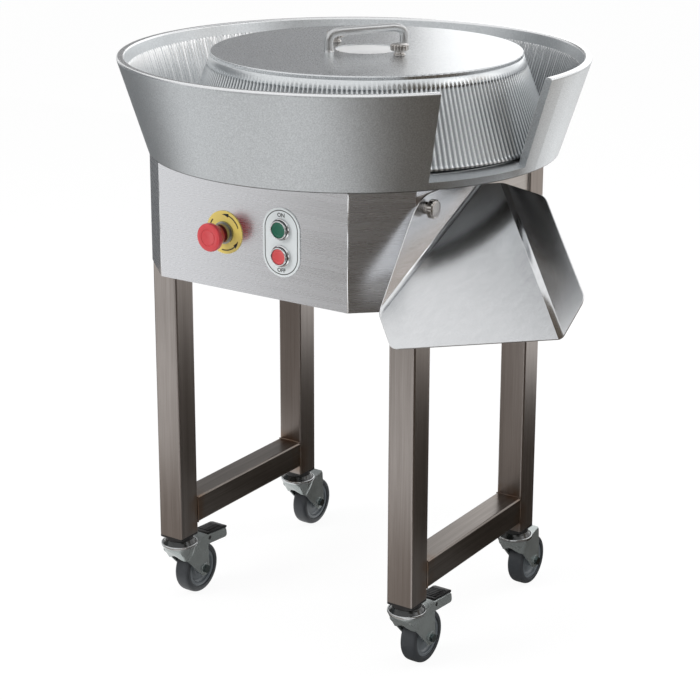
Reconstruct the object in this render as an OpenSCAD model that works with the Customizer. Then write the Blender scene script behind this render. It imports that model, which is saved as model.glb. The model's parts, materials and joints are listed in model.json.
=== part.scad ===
// Dough rounder: a fluted cone turns off centre inside a fixed bowl, on a wheeled steel stand.
// X runs along the front, Y runs away from the front, Z is up, and the floor is at zero.

/* [Stand] */
// Width over the legs, along the front
frame_w = 432; // [410:1:460]
// Depth over the legs
frame_d = 340; // [320:1:370]
// Side of the square tube
tube = 40; // [36:1:44]
// Wall of the square tube
tube_wall = 2; // [1.5:0.5:3]
// Outer corner radius of the square tube
tube_corner = 3; // [2:0.5:5]
// Height of the leg ends above the floor
leg_foot_z = 105; // [103:1:115]
// Height of the low rails' top face
rail_top_z = 159; // [155:1:260]
// Height of the deck's top face, which carries the bowl
deck_top_z = 679; // [660:1:720]
// Thickness of the deck plate
deck_t = 8; // [6:1:12]

/* [Covers] */
// Thickness of the cover sheets
sheet = 1.5; // [1:0.25:2]
// How far the front cover stands in front of the legs
cover_depth = 59.5; // [50:0.5:63]
// Width of the front cover's flat face
cover_face_w = 304; // [290:1:312]
// Height of the covers' lower edge
cover_low_z = 522; // [512:1:528]
// How far the side panels sit inside the legs' outer faces
panel_inset = 3; // [1:0.5:6]
// Width of the folded edges
flange_w = 18; // [12:1:24]
// Slots in the bottom cover
vent_count = 9; // [5:1:12]

/* [Bowl] */
// Bowl axis to the right of the stand's centre
bowl_x = 3; // [0:0.5:6]
// Bowl axis behind the stand's centre
bowl_y = 8; // [4:0.5:12]
// Outer radius at the bowl's foot
bowl_base_r = 284; // [282:1:294]
// Outer radius at the rim
bowl_rim_r = 324; // [316:1:336]
// Height of the bowl
bowl_h = 132; // [122:1:145]
// Wall of the bowl
bowl_wall = 10.5; // [8:0.5:12]
// Rounding of the rim's edges
rim_round = 3.4; // [2:0.2:3.8]
// Height of the bowl's floor above its foot
floor_h = 18; // [17:0.5:20]
// Thickness of the bowl's floor
floor_t = 10; // [7:0.5:12]
// Width of the floor's sloping edge
floor_edge = 20; // [16:1:26]
// Slope of the floor's edge, which is also the exit's sill
sill_slope = 15; // [8:1:20]
// Depth of the exit below the floor's sloping edge
sill_cut = 0.6; // [0.3:0.1:1.2]
// Start of the exit, in degrees from the front
exit_start = 52.6; // [45:0.2:58]
// End of the exit, in degrees from the front
exit_end = 84; // [78:0.5:92]

/* [Cone] */
// How far the cone's axis lies from the bowl's axis
cone_offset = 18; // [10:0.5:19]
// Direction of that offset, in degrees from the right-hand side
cone_offset_angle = 20; // [-20:1:45]
// Narrowest gap between the cone's skirt and the bowl's wall
channel_gap = 4.9; // [4:0.1:9]
// Height of the cone
cone_h = 111; // [104:1:116]
// Lean of the cone's side
cone_lean = 20.8; // [18:0.1:21.4]
// Gap between the cone's skirt and the bowl's floor
cone_gap = 2; // [1:0.25:4]
// Flutes round the cone
flute_count = 216; // [120:4:232]
// Depth of the flutes
flute_depth = 1.6; // [0.8:0.1:2.4]
// Smooth band above the flutes
flute_top_band = 13; // [8:1:20]
// Smooth band below the flutes
flute_low_band = 5; // [4:0.5:9]
// Wall of the cone
cone_wall = 8; // [6:0.5:10]
// Width of the cone's top lip
lip_w = 64.5; // [56:0.5:80]
// Thickness of the cone's top lip
lip_t = 8; // [6:0.5:10]

/* [Lid] */
// Thickness of the lid
lid_t = 5; // [4:0.5:8]
// How far the lid's edge stays inside the cone's edge
lid_step = 0.5; // [0:0.25:2]
// Edge rounding of the lid
lid_round = 1.5; // [0.5:0.25:1.75]
// Radius of the round recess in the middle of the lid
recess_r = 43; // [36:1:46]
// Depth of the recess
recess_depth = 1.5; // [0.5:0.25:2.5]
// Distance between the handle's feet
handle_span = 117; // [112:1:124]
// Height of the handle over the lid
handle_h = 32; // [30:1:45]
// Diameter of the handle's bar
handle_d = 10.5; // [9:0.5:12]
// Bend radius of the handle
handle_bend = 14; // [10:1:18]
// Diameter of the handle's feet
handle_foot_d = 16; // [14:0.5:20]
// Direction of the handle, in degrees from the right-hand side
handle_angle = 61.5; // [50:0.5:75]
// Distance of the lid screws from the cone's axis
lid_screw_r = 70.5; // [64:0.5:80]
// Direction of the lid screws, in degrees from the right-hand side
lid_screw_angle = -18.5; // [-30:0.5:-10]

/* [Thumb screws] */
// Diameter of a thumb screw's head
knob_d = 25; // [22:0.5:28]
// Height of a thumb screw's head
knob_h = 9.5; // [8:0.5:12]
// Diameter of a thumb screw's neck
knob_neck_d = 15; // [12:0.5:18]
// Height of a thumb screw's neck
knob_neck_h = 7; // [4:0.5:10]
// Diameter of a thumb screw's thread
knob_thread_d = 8; // [6:0.5:10]
// Grooves round a thumb screw's head
knob_grooves = 22; // [16:1:30]

/* [Drive] */
// Diameter of the drive shaft
shaft_d = 25; // [22:1:28]
// Diameter of the shaft's top, where the hub sits
shaft_top_d = 20; // [16:1:21]
// Outer diameter of the shaft bearing
bearing_d = 52; // [47:1:56]
// Height of the shaft bearing
bearing_h = 15; // [12:1:18]
// Outer diameter of the shaft seal
seal_d = 40; // [36:1:44]
// How far the disc that carries the cone reaches under the cone's lip
hub_seat = 26; // [16:1:34]
// Thickness of that disc
hub_disc_t = 8; // [6:0.5:12]
// Diameter of the hub
hub_d = 60; // [48:1:70]
// Length of the hub below its disc
hub_len = 48; // [40:1:56]
// Height of the bearing housing under the deck
housing_h = 39; // [36:1:44]
// Radius of the bearing housing's flange
housing_flange_r = 92; // [88:1:94]
// Radius of the circle of bowl bolts
bolt_ring_r = 78; // [74:1:82]
// Diameter of the bowl bolts
bolt_d = 10; // [8:1:12]
// Width of the gearbox
gearbox_w = 112; // [100:1:124]
// Depth of the gearbox
gearbox_d = 120; // [112:1:130]
// Height of the gearbox
gearbox_h = 92; // [84:1:96]
// Offset of the motor's axis from the shaft, towards the front
motor_offset = 50; // [40:1:60]
// Diameter of the motor
motor_d = 108; // [96:1:114]
// Gap between the motor's fan cover and the left side panel
fan_gap = 25.4; // [16:0.2:36]
// Length of the motor's fan cover
fan_len = 38; // [30:1:42]

/* [Chute] */
// How far the chute's left corner stands in front of the legs
chute_reach = 88; // [70:1:100]
// Height of the chute's left corner
chute_corner_z = 541; // [530:1:550]
// Slope of the chute
chute_slope = 34; // [30:0.5:35]
// Heading of the chute, in degrees from right towards the front
chute_heading = 45; // [42:1:48]
// Length of the chute's fold along the stand
chute_fold = 243; // [225:1:246]
// Length of the chute below its left corner
chute_drop = 57; // [45:1:70]
// Width of the chute's lower edge
chute_low_w = 216; // [200:1:230]
// Width of the chute between its folds at the top
chute_top_w = 34; // [26:1:44]
// Width of the chute's right wall
wall_w = 49; // [40:1:56]
// Angle of the right wall above the chute's plate
wall_angle = 49; // [40:1:70]
// Cut at the wall's lower end
wall_low_cut = 31; // [20:1:40]
// Cut at the wall's upper end
wall_top_cut = 62; // [55:1:75]
// Height of the back flange's top below the deck's top
flange_drop = 9; // [8.5:0.5:12]
// Length of the back flange's slanted front edge, along the stand
flange_lead = 88; // [76:1:96]
// Corner radius of the back flange
flange_corner = 15; // [10:1:20]
// Corner radius of the chute's lower left corner
chute_corner_r = 8; // [4:1:12]
// Height of the chute screw below the deck's top
chute_screw_drop = 26; // [22:1:32]

/* [Controls] */
// Emergency stop, from the middle of the front face
estop_x = -42; // [-60:1:-34]
// Push buttons, from the middle of the front face
buttons_x = 50; // [44:1:70]
// Height of the controls below the deck's top
controls_drop = 79; // [70:1:86]
// Distance between the two push buttons
button_pitch = 35.5; // [34:0.5:44]
// Diameter of the emergency stop's yellow disc
estop_disc_d = 58; // [52:1:64]
// Diameter of the red mushroom
mushroom_d = 38; // [34:1:42]
// How far the mushroom's face stands out
mushroom_out = 36; // [33:1:42]
// Travel of the emergency stop
estop_travel = 5; // [3:0.5:5.5]
// Width of the push buttons' white plate
plate_w = 58; // [50:1:64]
// Height of that plate
plate_h = 92; // [84:1:100]
// Thickness of the plate and of the yellow disc
plate_t = 1.2; // [0.8:0.2:2]
// Diameter of a push button's ring
bezel_d = 29; // [27:0.5:31]
// How far a push button's ring stands out
bezel_out = 9; // [7:0.5:12]
// Diameter of a push button's cap
cap_d = 21; // [19:0.5:21.5]
// Travel of a push button
button_travel = 3; // [2:0.5:4]
// Diameter of the holes in the front cover
control_hole_d = 24; // [23.5:0.5:26]
// Distance of the cable gland from the middle of the back
gland_x = -120; // [-140:1:-90]
// Bore of the cable gland
gland_bore_d = 10; // [7:0.5:12]
// How far the cable gland stands out
gland_out = 25; // [20:1:32]

/* [Casters] */
// Diameter of a wheel
wheel_d = 75; // [70:1:77]
// Width of a wheel
wheel_w = 24; // [20:1:26]
// Diameter of the wheel's core inside the tyre
core_d = 56; // [48:1:60]
// How far the wheel trails behind its swivel
trail = 38; // [34:1:42]
// Diameter of the wheel's axle
axle_d = 8; // [6:1:10]
// Diameter of the swivel's stem
stem_d = 12; // [10:1:14]
// Radius of the fork's crown
crown_r = 24; // [21:0.5:26]
// Thickness of the fork's plates
fork_t = 2.5; // [2:0.25:3]
// Side play between the wheel and the fork
wheel_play = 2; // [1:0.25:3]

/* [Hidden] */
$fn = 96;

// Clearances: fixed pieces, turning or sliding pieces, and flat faces that turn on each other
seat_fit = 0.05;
run_fit = 0.06;
face_gap = 0.3;
// Overshoot of cutting tools
over = 1;

// Colours
steel = "#8d857d";
sheet_steel = "#b4b2b0";
cast_grey = "#9a9fa3";
zinc = "#8f9698";
dark = "#2b2c2e";
machine_blue = "#5d6f80";

// Stand
half_w = frame_w / 2;
half_d = frame_d / 2;
leg_x = half_w - tube / 2;
leg_y = half_d - tube / 2;
inner_x = half_w - tube;
inner_y = half_d - tube;
deck_low_z = deck_top_z - deck_t;

// Front face of the cover, and where the controls sit on it
face_y = -half_d - cover_depth;
controls_z = deck_top_z - controls_drop;
start_z = controls_z + button_pitch / 2;
stop_z = controls_z - button_pitch / 2;
estop_spot = [estop_x, controls_z];
start_spot = [buttons_x, start_z];
stop_spot = [buttons_x, stop_z];

// Bowl and cone axes
cone_x = bowl_x + cone_offset * cos(cone_offset_angle);
cone_y = bowl_y + cone_offset * sin(cone_offset_angle);

// Radii of the turning pieces, from the bowl that they turn in
bowl_slope = (bowl_rim_r - bowl_base_r) / bowl_h;
floor_flat_r = bowl_base_r - floor_edge;
skirt_wall_r = bowl_base_r - bowl_wall + bowl_slope * (floor_h + cone_gap);
cone_skirt_r = skirt_wall_r - cone_offset - channel_gap;
cone_top_r = cone_skirt_r - tan(cone_lean) * cone_h;
lip_r = cone_top_r - lip_w;
hub_disc_r = lip_r + hub_seat;

// Heights of the turning pieces
floor_z = deck_top_z + floor_h;
skirt_z = floor_z + cone_gap;
cone_top_z = skirt_z + cone_h;
lid_top_z = cone_top_z + lid_t;
disc_top_z = cone_top_z - lip_t;
hub_low_z = disc_top_z - hub_disc_t - hub_len;
housing_low_z = deck_low_z - housing_h;
gearbox_low_z = housing_low_z - gearbox_h;
motor_z = housing_low_z - gearbox_h / 2;
motor_y = cone_y - motor_offset;
motor_end_x = cone_x - gearbox_w / 2;
motor_len = half_w - panel_inset - sheet - fan_gap - fan_len + motor_end_x;

// Control bodies
body_d = control_hole_d - 2 * seat_fit;
stem_bore_d = 16;
collar_out = 11;
collar_back = 20;
block_front = 9;
block_back = 46;
block_w = 30;
block_h = 34;
nut_t = 5;

// Caster heights
wheel_r = wheel_d / 2;
plug_lip = 3;
race_h = 4;
race_r = 20;
plate_top_z = wheel_d + 14;
crown_top_z = leg_foot_z - plug_lip - race_h - face_gap;
fork_in = wheel_w / 2 + wheel_play;
fork_out = fork_in + fork_t;
pedal_pivot = [trail + 13, plate_top_z - 7];
pedal_pin_d = 6;

function polar(r, a) = [r * cos(a), r * sin(a)];

// Way that the tangent from one circle to the next faces. Circles are [x, y, radius], listed anticlockwise.
function facing(p, q) = let (span = [q[0] - p[0], q[1] - p[1]])
    atan2(span[1], span[0]) - acos((p[2] - q[2]) / norm(span));

// Tangent points round a ring of circles
function tangent_points(circles) = [for (i = [0 : len(circles) - 1])
    let (p = circles[i], q = circles[(i + 1) % len(circles)], a = facing(p, q))
    each [[p[0], p[1]] + polar(p[2], a), [q[0], q[1]] + polar(q[2], a)]];

// Flat outline drawn tight round a ring of circles
module rounded_outline(circles) {
    polygon(tangent_points(circles));
    for (c = circles) translate([c[0], c[1]]) circle(r = c[2]);
}

module rounded_rectangle(w, h, r) {
    x = w / 2 - r;
    y = h / 2 - r;
    rounded_outline([[-x, -y, r], [x, -y, r], [x, y, r], [-x, y, r]]);
}

// Square tube standing on the origin
module square_tube(length) {
    inner = tube - 2 * tube_wall;
    linear_extrude(length) difference() {
        rounded_rectangle(tube, tube, tube_corner);
        rounded_rectangle(inner, inner, tube_corner / 3);
    }
}

// Bent sheet standing on the origin, along points in plan
module bent_sheet(points, height) {
    linear_extrude(height) {
        for (i = [0 : len(points) - 2]) {
            run = points[i + 1] - points[i];
            translate(points[i]) rotate(atan2(run[1], run[0]))
                translate([0, -sheet / 2]) square([norm(run), sheet]);
        }
        for (i = [1 : len(points) - 2]) translate(points[i]) circle(d = sheet);
    }
}

// Ring standing on the origin
module ring(outer_d, inner_d, height) {
    difference() {
        cylinder(d = outer_d, h = height);
        translate([0, 0, -over]) cylinder(d = inner_d, h = height + 2 * over);
    }
}

// Turns a shape built along Z so that it points out of the front face, from a spot on that face
module on_face(spot) {
    translate([spot[0], face_y, spot[1]]) rotate([90, 0, 0]) children();
}

// Legs and rails

// Holes that fasten the back panel, and the chute's hole on the front right leg
panel_screw_d = 5;
panel_margin = 12;
panel_low_z = cover_low_z + panel_margin;
panel_high_z = deck_low_z - panel_margin;
chute_screw_spot = [half_w, -leg_y, deck_top_z - chute_screw_drop];

module leg(right, back) {
    color(steel) difference() {
        translate([right * leg_x, back * leg_y, leg_foot_z]) square_tube(deck_low_z - leg_foot_z);
        if (back > 0) {
            for (z = [panel_low_z, panel_high_z])
                translate([right * leg_x, half_d + over, z]) rotate([90, 0, 0])
                    cylinder(d = panel_screw_d + 2 * seat_fit, h = tube_wall + 2 * over);
        }
        if (back < 0 && right > 0) {
            translate(chute_screw_spot - [tube_wall + over, 0, 0]) rotate([0, 90, 0])
                cylinder(d = knob_thread_d + 2 * run_fit, h = tube_wall + 2 * over);
        }
    }
}

module rail(right) {
    color(steel) translate([right * leg_x, -inner_y, rail_top_z - tube / 2]) rotate([-90, 0, 0])
        square_tube(2 * inner_y);
}

// Deck and covers

// Plan of the front cover's middle line, from leg to leg
cover_corner_x = cover_face_w / 2 - sheet / 2;
cover_end_x = half_w - sheet;
cover_line = [
    [-inner_x - flange_w, -half_d - sheet / 2], [-cover_end_x, -half_d - sheet / 2],
    [-cover_corner_x, face_y + sheet / 2], [cover_corner_x, face_y + sheet / 2],
    [cover_end_x, -half_d - sheet / 2], [inner_x + flange_w, -half_d - sheet / 2]];
cover_clearance = sheet + 0.5;

// Corners of a plate inside the front cover: its front edge, and where its slanted edges end
inside_front = [cover_corner_x - cover_clearance, face_y + cover_clearance];
inside_wing = [cover_end_x - 2 * cover_clearance, -half_d - sheet - face_gap];

// Depth of such a plate's slanted edge at a distance from the middle
function slant_y(x) = inside_front[1]
    + (x - inside_front[0]) * (inside_wing[1] - inside_front[1]) / (inside_wing[0] - inside_front[0]);

// Both halves of an outline in plan, from its right half listed from front to back
function mirrored(right) = concat(right, [for (i = [len(right) - 1 : -1 : 0]) [-right[i][0], right[i][1]]]);

module deck_plate() {
    notch_x = inner_x + flange_w - face_gap;
    color(sheet_steel) difference() {
        translate([0, 0, deck_low_z]) linear_extrude(deck_t) polygon(mirrored([
            inside_front, [notch_x, slant_y(notch_x)], [notch_x, -half_d],
            [half_w, -half_d], [half_w, half_d]]));
        translate([cone_x, cone_y, deck_low_z - over]) {
            cylinder(d = bearing_d - 8, h = deck_t + 2 * over);
            bolt_places() cylinder(d = bolt_d + 2 * seat_fit, h = deck_t + 2 * over);
        }
    }
}

module front_cover() {
    color(sheet_steel) difference() {
        translate([0, 0, cover_low_z]) bent_sheet(cover_line, deck_top_z - cover_low_z);
        for (spot = [estop_spot, start_spot, stop_spot])
            on_face(spot) translate([0, 0, -sheet - over])
                cylinder(d = control_hole_d, h = sheet + 2 * over);
    }
}

// Plain panel between the legs of one side, folded back against them
module side_panel(right) {
    x = right * (half_w - panel_inset - sheet / 2);
    fold_x = x - right * flange_w;
    fold_y = inner_y - sheet / 2;
    color(sheet_steel) translate([0, 0, cover_low_z])
        bent_sheet([[fold_x, -fold_y], [x, -fold_y], [x, fold_y], [fold_x, fold_y]],
            deck_low_z - cover_low_z);
}

panel_w = 2 * leg_x + tube / 2;

module rear_panel() {
    height = deck_low_z - cover_low_z - panel_margin;
    middle_z = (panel_low_z + panel_high_z) / 2;
    color(sheet_steel) difference() {
        translate([0, half_d + sheet, middle_z]) rotate([90, 0, 0])
            linear_extrude(sheet) rounded_rectangle(panel_w, height, panel_margin / 2);
        panel_screw_places() translate([0, 0, -tube_wall - over])
            cylinder(d = panel_screw_d + 2 * seat_fit, h = tube_wall + sheet + 2 * over);
        translate([gland_x, half_d - over, gland_z]) rotate([-90, 0, 0])
            cylinder(d = gland_thread_d + 2 * seat_fit, h = sheet + 2 * over);
    }
}

// Places of the back panel's screws, each pointing out of the legs' back faces
module panel_screw_places() {
    for (x = [-leg_x, leg_x], z = [panel_low_z, panel_high_z])
        translate([x, half_d, z]) rotate([-90, 0, 0]) children();
}

module panel_screws() {
    head_d = 2 * panel_screw_d;
    head_h = 2.8;
    color(zinc) panel_screw_places() {
        translate([0, 0, -tube_wall - 2]) cylinder(d = panel_screw_d, h = tube_wall + 2 + sheet);
        translate([0, 0, sheet]) intersection() {
            cylinder(d = head_d, h = head_h);
            translate([0, 0, head_h - head_d]) sphere(r = head_d);
        }
    }
}

// Plate that closes the housing from below, with slots for the motor's air
module bottom_cover() {
    side_x = half_w - panel_inset - sheet - face_gap;
    leg_in_x = inner_x - face_gap;
    fold_y = inner_y - sheet - face_gap;
    slot_w = 6;
    slot_len = 90;
    slot_pitch = motor_len / (vent_count - 1);
    slot_start = 30;
    color(sheet_steel) difference() {
        translate([0, 0, cover_low_z]) linear_extrude(sheet) polygon(mirrored([
            inside_front, inside_wing, [leg_in_x, inside_wing[1]], [leg_in_x, -fold_y],
            [side_x, -fold_y], [side_x, fold_y], [leg_in_x, fold_y], [leg_in_x, half_d - face_gap]]));
        for (i = [0 : vent_count - 1])
            translate([motor_end_x - slot_start - slot_pitch * i, motor_y, cover_low_z - over])
                linear_extrude(sheet + 2 * over) rounded_rectangle(slot_w, slot_len, slot_w / 2 - 0.1);
    }
}

// Cable gland low on the back panel
gland_rise = 42;
gland_z = cover_low_z + gland_rise;
gland_thread_d = gland_bore_d + 10;
gland_nut_t = 6;

module cable_gland() {
    color(dark) translate([gland_x, half_d, gland_z]) rotate([-90, 0, 0]) difference() {
        union() {
            translate([0, 0, -gland_nut_t - 4]) cylinder(d = gland_thread_d, h = gland_nut_t + 4 + sheet);
            translate([0, 0, -gland_nut_t]) cylinder(d = gland_thread_d + 8, h = gland_nut_t, $fn = 6);
            translate([0, 0, sheet]) cylinder(d = gland_thread_d + 8, h = gland_nut_t, $fn = 6);
            translate([0, 0, sheet]) cylinder(d = gland_thread_d + 2, h = gland_out - 6);
            translate([0, 0, sheet + gland_out - 6])
                cylinder(d1 = gland_thread_d + 2, d2 = gland_bore_d + 4, h = 6);
        }
        translate([0, 0, -gland_nut_t - 4 - over])
            cylinder(d = gland_bore_d, h = gland_nut_t + 4 + sheet + gland_out + 2 * over);
    }
}

// Bowl

foot_round = 1.5;
foot_r = bowl_base_r - 26;

// Height of the floor's sloping edge above the bowl's foot
function sill_h(r) = floor_h - tan(sill_slope) * (r - floor_flat_r);

// Half section of the bowl, from its axis
module bowl_section() {
    out = rim_round;
    rounded_outline([
        [bowl_base_r - foot_round, foot_round, foot_round],
        [bowl_rim_r - out, bowl_h - out, out],
        [bowl_rim_r - bowl_wall + out, bowl_h - out, out],
        [bowl_base_r - bowl_wall + foot_round, foot_round, foot_round]]);
    seat_r = bowl_base_r - foot_round;
    polygon([[0, floor_h - floor_t], [foot_r, floor_h - floor_t], [foot_r, 0], [seat_r, 0],
        [seat_r, sill_h(seat_r)], [floor_flat_r, floor_h], [0, floor_h]]);
}

module exit_cut() {
    inner_r = floor_flat_r + 3;
    outer_r = bowl_rim_r + 10;
    rotate(exit_start - 90) rotate_extrude(angle = exit_end - exit_start) polygon([
        [inner_r, sill_h(inner_r) - sill_cut], [outer_r, sill_h(outer_r) - sill_cut],
        [outer_r, bowl_h + over], [inner_r, bowl_h + over]]);
}

module outer_bowl() {
    color(cast_grey) difference() {
        union() {
            translate([bowl_x, bowl_y, deck_top_z]) difference() {
                rotate_extrude() bowl_section();
                exit_cut();
            }
            translate([cone_x, cone_y, deck_top_z])
                cylinder(r = housing_flange_r, h = floor_h - floor_t / 2);
        }
        translate([cone_x, cone_y, deck_top_z - over]) {
            cylinder(d = seal_d + 2 * seat_fit, h = floor_h + 2 * over);
            bolt_places() cylinder(d = bolt_d + 2 * seat_fit, h = floor_h - 4 + over);
        }
    }
}

// Four places round the shaft's axis
module bolt_places() {
    for (i = [0 : 3]) rotate(45 + 90 * i) translate([bolt_ring_r, 0, 0]) children();
}

housing_flange_t = 12;

module bowl_bolts() {
    head_h = 0.65 * bolt_d;
    color(zinc) translate([cone_x, cone_y, deck_low_z - housing_flange_t]) bolt_places() {
        translate([0, 0, -head_h]) cylinder(d = 1.85 * bolt_d, h = head_h, $fn = 6);
        cylinder(d = bolt_d, h = housing_flange_t + deck_t + floor_h - 5);
    }
}

// Drive

module bearing_housing() {
    bore_d = bearing_d + 2 * seat_fit;
    color(machine_blue) translate([cone_x, cone_y, housing_low_z]) difference() {
        union() {
            cylinder(d = bearing_d + 28, h = housing_h);
            translate([0, 0, housing_h - housing_flange_t])
                cylinder(r = housing_flange_r, h = housing_flange_t);
        }
        translate([0, 0, -over]) cylinder(d = bearing_d - 12, h = housing_h);
        translate([0, 0, housing_h - bearing_h]) cylinder(d = bore_d, h = bearing_h + over);
        translate([0, 0, housing_h - housing_flange_t - over])
            bolt_places() cylinder(d = bolt_d + 2 * seat_fit, h = housing_flange_t + 2 * over);
    }
}

module shaft_bearing() {
    color(zinc) translate([cone_x, cone_y, deck_low_z - bearing_h])
        ring(bearing_d, shaft_d + 2 * run_fit, bearing_h);
}

module shaft_seal() {
    color(dark) translate([cone_x, cone_y, deck_top_z]) ring(seal_d, shaft_d + 2 * run_fit, floor_h);
}

shaft_low_z = gearbox_low_z + 8;

module drive_shaft() {
    color(zinc) translate([cone_x, cone_y, 0]) {
        translate([0, 0, shaft_low_z]) cylinder(d = shaft_d, h = hub_low_z - shaft_low_z);
        translate([0, 0, hub_low_z]) cylinder(d = shaft_top_d, h = disc_top_z - hub_low_z - 2);
    }
}

module gearbox_housing() {
    corner = 14;
    rib = 6;
    color(machine_blue) difference() {
        translate([cone_x, cone_y, gearbox_low_z]) {
            linear_extrude(gearbox_h) rounded_rectangle(gearbox_w, gearbox_d, corner);
            cylinder(d = gearbox_d - 16, h = gearbox_h);
            for (side = [-1, 1]) translate([side * (gearbox_w / 2 - corner), 0, gearbox_h / 2])
                cube([rib, gearbox_d + 2 * rib, gearbox_h - 4 * rib], center = true);
        }
        translate([cone_x, cone_y, shaft_low_z - 2])
            cylinder(d = shaft_d + 2 * run_fit, h = gearbox_h + over);
    }
}

// Turns a shape built along Z so that it points from the gearbox to the left, on the motor's axis
module on_motor() {
    translate([motor_end_x, motor_y, motor_z]) rotate([0, -90, 0]) children();
}

motor_flange_t = 10;

module motor_body() {
    ribs = 24;
    rib_h = 5;
    rib_t = 2.5;
    box_w = 72;
    box_h = 24;
    box_end = 22;
    box_l = motor_len - motor_flange_t - box_end;
    color(machine_blue) on_motor() {
        cylinder(d = motor_d, h = motor_flange_t);
        cylinder(d = motor_d - 2 * rib_h, h = motor_len);
        for (i = [0 : ribs - 1]) rotate(360 / ribs * i)
            translate([motor_d / 2 - 2 * rib_h, -rib_t / 2, motor_flange_t - over])
                cube([2 * rib_h, rib_t, motor_len - motor_flange_t + over - 8]);
        translate([-box_w / 2, -motor_d / 2 - box_h, motor_flange_t + 8])
            cube([box_w, box_h + motor_d / 3, box_l]);
    }
}

module motor_fan_cover() {
    holes = 12;
    wall = 2;
    color(dark) on_motor() translate([0, 0, motor_len]) difference() {
        cylinder(d = motor_d, h = fan_len);
        translate([0, 0, -over]) cylinder(d = motor_d - 2 * wall, h = fan_len - wall + over);
        for (i = [0 : holes - 1]) rotate(360 / holes * i) translate([motor_d / 3.2, 0, 0])
            cylinder(d = 9, h = fan_len + over);
    }
    color(dark) on_motor() translate([0, 0, motor_len]) cylinder(d = 16, h = fan_len);
}

// Rotor

// Radius of the cone's smooth side at a height above its skirt
function cone_r(h) = cone_top_r + tan(cone_lean) * (cone_h - h);

function plain_ring(r, h) = [for (i = [0 : flute_count - 1]) [each polar(r, 360 * i / flute_count), h]];

// One flute: share of its width, share of its depth
flute_shape = [[0, 0], [0.17, 0.45], [0.3, 1], [0.7, 1], [0.83, 0.45]];
flute_points = len(flute_shape);

function fluted_ring(r, h) = [for (i = [0 : flute_count - 1], s = flute_shape)
    [each polar(r - flute_depth * s[1], 360 * (i + s[0]) / flute_count), h]];

// Triangles between two rings that start at points a and b, with na and nb points
function band(a, na, b, nb) = na <= nb
    ? let (m = nb / na) [for (j = [0 : na - 1]) each concat(
        [for (k = [0 : m - 1]) [a + j, b + (m * j + k + 1) % nb, b + m * j + k]],
        [[a + j, a + (j + 1) % na, b + m * (j + 1) % nb]])]
    : let (m = na / nb) [for (j = [0 : nb - 1]) each concat(
        [for (k = [0 : m - 1]) [a + m * j + k, a + (m * j + k + 1) % na, b + j]],
        [[a + m * (j + 1) % na, b + (j + 1) % nb, b + j]])];

module rounding_cone() {
    flute_top = cone_h - flute_top_band;
    flute_end = 1.5;
    lip_low = cone_h - lip_t;
    rings = [
        plain_ring(cone_r(cone_h), cone_h),
        plain_ring(cone_r(flute_top + flute_end), flute_top + flute_end),
        fluted_ring(cone_r(flute_top), flute_top),
        fluted_ring(cone_r(flute_low_band), flute_low_band),
        plain_ring(cone_r(flute_low_band - flute_end), flute_low_band - flute_end),
        plain_ring(cone_r(0), 0),
        plain_ring(cone_r(0) - cone_wall, 0),
        plain_ring(cone_r(lip_low) - cone_wall, lip_low),
        plain_ring(lip_r, lip_low),
        plain_ring(lip_r, cone_h)];
    count = len(rings);
    sizes = [for (r = rings) len(r)];
    starts = [for (i = 0, at = 0; i < count; at = at + sizes[i], i = i + 1) at];
    color(cast_grey) translate([cone_x, cone_y, skirt_z])
        polyhedron([for (r = rings) each r], [for (i = [0 : count - 1])
            each band(starts[i], sizes[i], starts[(i + 1) % count], sizes[(i + 1) % count])]);
}

// The two places of the lid screws, on the lid's top face
function lid_screw_spot(side) =
    [cone_x, cone_y, lid_top_z] + [each polar(side * lid_screw_r, lid_screw_angle), 0];

screw_boss_d = 24;

module cone_hub() {
    color(cast_grey) difference() {
        union() {
            translate([cone_x, cone_y, disc_top_z - hub_disc_t]) cylinder(r = hub_disc_r, h = hub_disc_t);
            translate([cone_x, cone_y, hub_low_z]) cylinder(d = hub_d, h = hub_len + over);
            for (side = [-1, 1]) translate(lid_screw_spot(side) - [0, 0, lid_t + lip_t + over])
                cylinder(d = screw_boss_d, h = lip_t + over);
        }
        translate([cone_x, cone_y, hub_low_z - over])
            cylinder(d = shaft_top_d + 2 * seat_fit, h = hub_len + hub_disc_t + 2 * over);
        for (side = [-1, 1]) translate(lid_screw_spot(side) - [0, 0, lid_t + lip_t + hub_disc_t + over])
            cylinder(d = knob_thread_d + 2 * run_fit, h = lip_t + hub_disc_t + 2 * over);
    }
}

module cone_lid() {
    lid_r = cone_top_r - lid_step;
    color(sheet_steel) difference() {
        translate([cone_x, cone_y, cone_top_z]) rotate_extrude() difference() {
            union() {
                square([lid_r - lid_round, lid_t]);
                square([lid_r, lid_t - lid_round]);
                translate([lid_r - lid_round, lid_t - lid_round]) circle(r = lid_round);
            }
            translate([-over, lid_t - recess_depth]) square([recess_r + over, recess_depth + over]);
        }
        for (side = [-1, 1]) translate(lid_screw_spot(side) - [0, 0, lid_t + over])
            cylinder(d = knob_thread_d + 2 * run_fit, h = lid_t + 2 * over);
    }
}

module lid_handle() {
    foot_h = 4;
    half_span = handle_span / 2;
    bar_h = handle_h - handle_d / 2;
    color(cast_grey) translate([cone_x, cone_y, lid_top_z]) rotate(handle_angle) {
        for (side = [0, 180]) rotate(side) translate([half_span, 0, 0]) {
            cylinder(d = handle_foot_d, h = foot_h);
            cylinder(d = handle_d, h = bar_h - handle_bend);
            translate([-handle_bend, 0, bar_h - handle_bend]) rotate([90, 0, 0])
                rotate_extrude(angle = 90) translate([handle_bend, 0]) circle(d = handle_d);
        }
        translate([-half_span + handle_bend, 0, bar_h]) rotate([0, 90, 0])
            cylinder(d = handle_d, h = handle_span - 2 * handle_bend);
    }
}

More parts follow.
